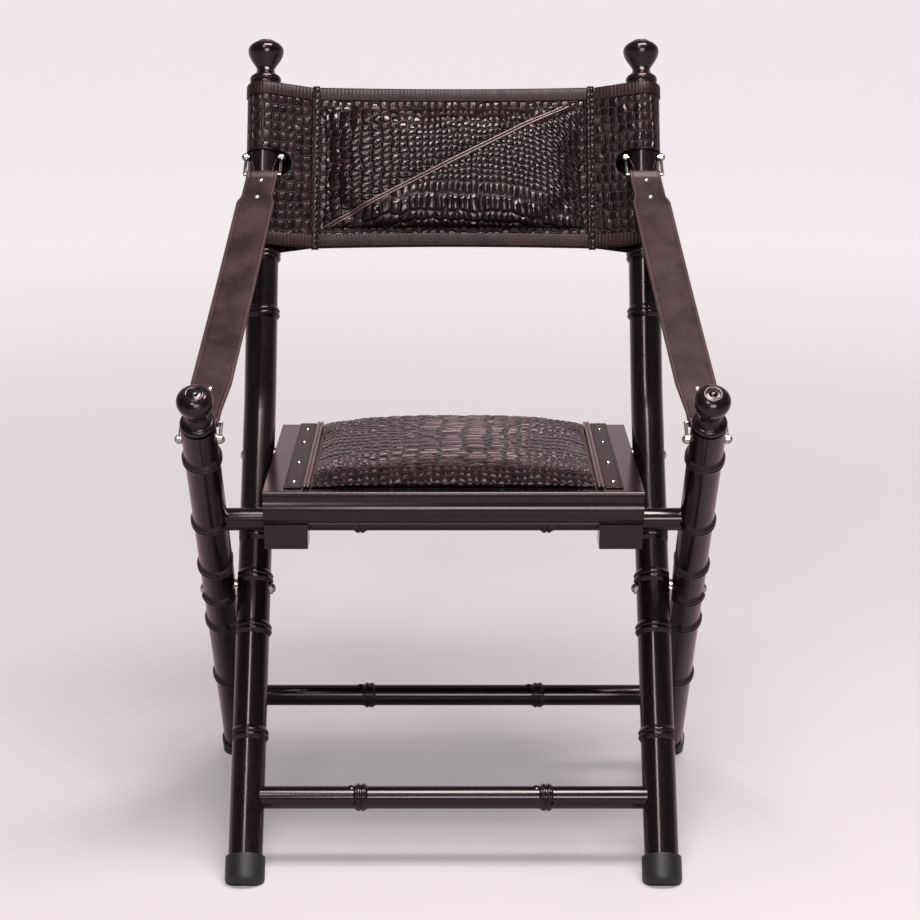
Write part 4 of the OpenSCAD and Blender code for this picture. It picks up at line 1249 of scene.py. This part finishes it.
def makeStitchTree():
    # Beads of thread along each line, a little out of true
    tree, start, end = newGeometryTree(
        "stitchRow", {"Pitch": 3.6 * mm, "Length": 2.6 * mm, "Thread": 0.7 * mm, "Finish": "Material"})
    curve = addNode(tree, "GeometryNodeMeshToCurve", {0: start.outputs["Geometry"]}).outputs[0]
    spots = addNode(tree, "GeometryNodeCurveToPoints", {"Curve": curve, "Length": start.outputs["Pitch"]},
                    mode="LENGTH")
    bead = scaledBall(tree, start, "Thread", "Length", 6, 5, 0.5)
    turn = addNode(tree, "FunctionNodeRandomValue",
                   {"Min": (-0.06, -0.06, 0.0), "Max": (0.06, 0.06, 0.0), "Seed": 7},
                   data_type="FLOAT_VECTOR")
    tilt = addNode(tree, "FunctionNodeEulerToRotation", {0: turn.outputs[0]}).outputs[0]
    rotation = addNode(tree, "FunctionNodeRotateRotation", {0: spots.outputs["Rotation"], 1: tilt},
                       rotation_space="LOCAL")
    sewn = addNode(tree, "GeometryNodeInstanceOnPoints",
                   {"Points": spots.outputs["Points"], "Instance": bead, "Rotation": rotation.outputs[0]})
    return closeTree(tree, end, sewn.outputs[0], start.outputs["Finish"], smooth=True)


def makeStudTree():
    # Domed heads on a thin rim, slightly different in size
    tree, start, end = newGeometryTree(
        "domedStuds", {"Radius": 4 * mm, "Height": 2.2 * mm, "Tilt": "Rotation", "Finish": "Material"})
    dome = scaledBall(tree, start, "Radius", "Height", 24, 14, 1.0)
    rimSize = calc(tree, "MULTIPLY", start.outputs["Radius"], 1.1)
    rim = addNode(tree, "GeometryNodeMeshCylinder", {"Vertices": 24, "Radius": rimSize, "Depth": 0.0006})
    both = addNode(tree, "GeometryNodeJoinGeometry")
    tree.links.new(dome, both.inputs[0])
    tree.links.new(rim.outputs["Mesh"], both.inputs[0])
    sizes = addNode(tree, "FunctionNodeRandomValue", {2: 0.96, 3: 1.04, "Seed": 3}, data_type="FLOAT")
    studs = addNode(tree, "GeometryNodeInstanceOnPoints",
                    {"Points": start.outputs["Geometry"], "Instance": both.outputs[0],
                     "Rotation": start.outputs["Tilt"], "Scale": sizes.outputs[1]})
    return closeTree(tree, end, studs.outputs[0], start.outputs["Finish"], smooth=True)


stitchRow = makeStitchTree()
domedStuds = makeStudTree()


def runTree(name, lines, tree, values, finish, body=None, stoodFor=()):
    # Lines of points go through the tree, and its result becomes a plain mesh
    points, edges = [], []
    for line in lines:
        edges += [(len(points) + k, len(points) + k + 1) for k in range(len(line) - 1)]
        points += [tuple(p) for p in line]
    mesh = bpy.data.meshes.new(name)
    mesh.from_pydata(points, edges, [])
    piece = growWith(addObject(name, mesh), tree, {**values, "Finish": finishes[finish]})
    return finishPiece(piece, finish, body, stoodFor)


# how far each row lies inside its edge, above its leather and short of its end
rowValues = {
    "strapIn": 4.5 * mm, "strapUp": 1.02 * mm, "strapEnd": 6 * mm, "bandX": 0.160, "bandIn": 13.4 * mm,
    "bandUp": 2.35 * mm, "seamEnd": 3 * mm, "seamFront": -4.9 * mm, "seamBack": 2.6 * mm,
    "stripIn": 2.7 * mm, "stripUp": 1.85 * mm, "stripEnd": 2 * mm,
}


def strapRow(side, share, face):
    r = rowValues
    line = []
    for v in steps(r["strapEnd"], strapValues["length"] - r["strapEnd"], 150):
        x = strapCentre(v) + share * (strapWidth(v) / 2 - r["strapIn"])
        line.append(strapPoint(side, x, v, strapBow(v) + face * (strapRise(v) + r["strapUp"])))
    return line


def bandRow(top, back):
    r = rowValues
    line = []
    for x in steps(-r["bandX"], r["bandX"], 120):
        inside = slingEdge(x) + r["bandIn"]
        y = slingValues["layer"] + r["bandUp"]
        line.append(slingPoint(x, y if back else -y, slingValues["height"] - inside if top else inside))
    return line


def seamRow(side, offset, back):
    edge = slingEdge(seamValues["edgeX"]) + rowValues["seamEnd"]
    x = side * (slingValues["seamX"] - seamValues["width"] / 2 + offset)
    return [slingPoint(x, rowValues["seamBack" if back else "seamFront"], z)
            for z in steps(edge, slingValues["height"] - edge, 80)]


def stripRow(side, inner):
    v, r = seatValues, rowValues
    x = side * (v["stripIn"] + (r["stripIn"] if inner else v["strip"] - r["stripIn"]))
    return [(x, y, v["top"] + r["stripUp"])
            for y in steps(v["front"] + r["stripEnd"], v["back"] - r["stripEnd"], 80)]


def sew(name, rows, body, pitch, length, thread):
    # The stitches' pitch, length and thickness are given in millimetres
    values = {"Pitch": pitch * mm, "Length": length * mm, "Thread": thread * mm}
    return runTree(name, rows, stitchRow, values, "thread", body)


for side, word in ((-1, "Left"), (1, "Right")):
    strapRows = [strapRow(side, share, face) for share in (-1, 1) for face in (-1, 1)]
    bendWithStrap(sew("strapStitches" + word, strapRows, None, 3.7, 2.7, 0.75))
slingRows = [bandRow(top, back) for top in (True, False) for back in (True, False)]
slingRows += [seamRow(side, offset, back) for side in (-1, 1) for offset in (-3.6 * mm, 3.6 * mm)
              for back in (True, False)]
sew("slingStitches", slingRows, "back_frame", 3.4, 2.4, 0.7)
seatRows = [stripRow(side, inner) for side in (-1, 1) for inner in (True, False)]
sew("seatStitches", seatRows, "seat", 3.4, 2.4, 0.65)

nailValues = {"Radius": 3.0 * mm, "Height": 2.0 * mm}
strapTilt = math.atan2(strapValues["run"][1], strapValues["run"][0]) + math.pi
rivetValues = {"Radius": 3.7 * mm, "Height": 1.9 * mm, "Tilt": (strapTilt, 0.0, 0.0)}
nailUp, rivetUp = 1.9 * mm, 2.15 * mm
# distances of the rivets from the back bar, along the strap
rivetPlaces = {"back": (0.0132, 0.0471), "arm": (0.4349, 0.4010)}


def rivetSpots(places):
    return [[strapPoint(side, strapCentre(v), v, strapBow(v) + face * rivetUp)]
            for side in (-1, 1) for v in places for face in (-1, 1)]


nailSpots = [[(side * seatValues["nailX"], y, seatValues["top"] + nailUp)]
             for side in (-1, 1) for y in nailRows]
runTree("seatNails", nailSpots, domedStuds, nailValues, "nickel", "seat", ["seat_nails"])
backSpots, armSpots = rivetSpots(rivetPlaces["back"]), rivetSpots(rivetPlaces["arm"])
runTree("backRivets", backSpots, domedStuds, rivetValues, "nickel", "back_frame", ["back_rivets"])
armRivets = runTree("armRivets", armSpots, domedStuds, rivetValues, "nickel")
bendWithStrap(armRivets)
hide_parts("arm_rivets")
print("stitches and studs made")
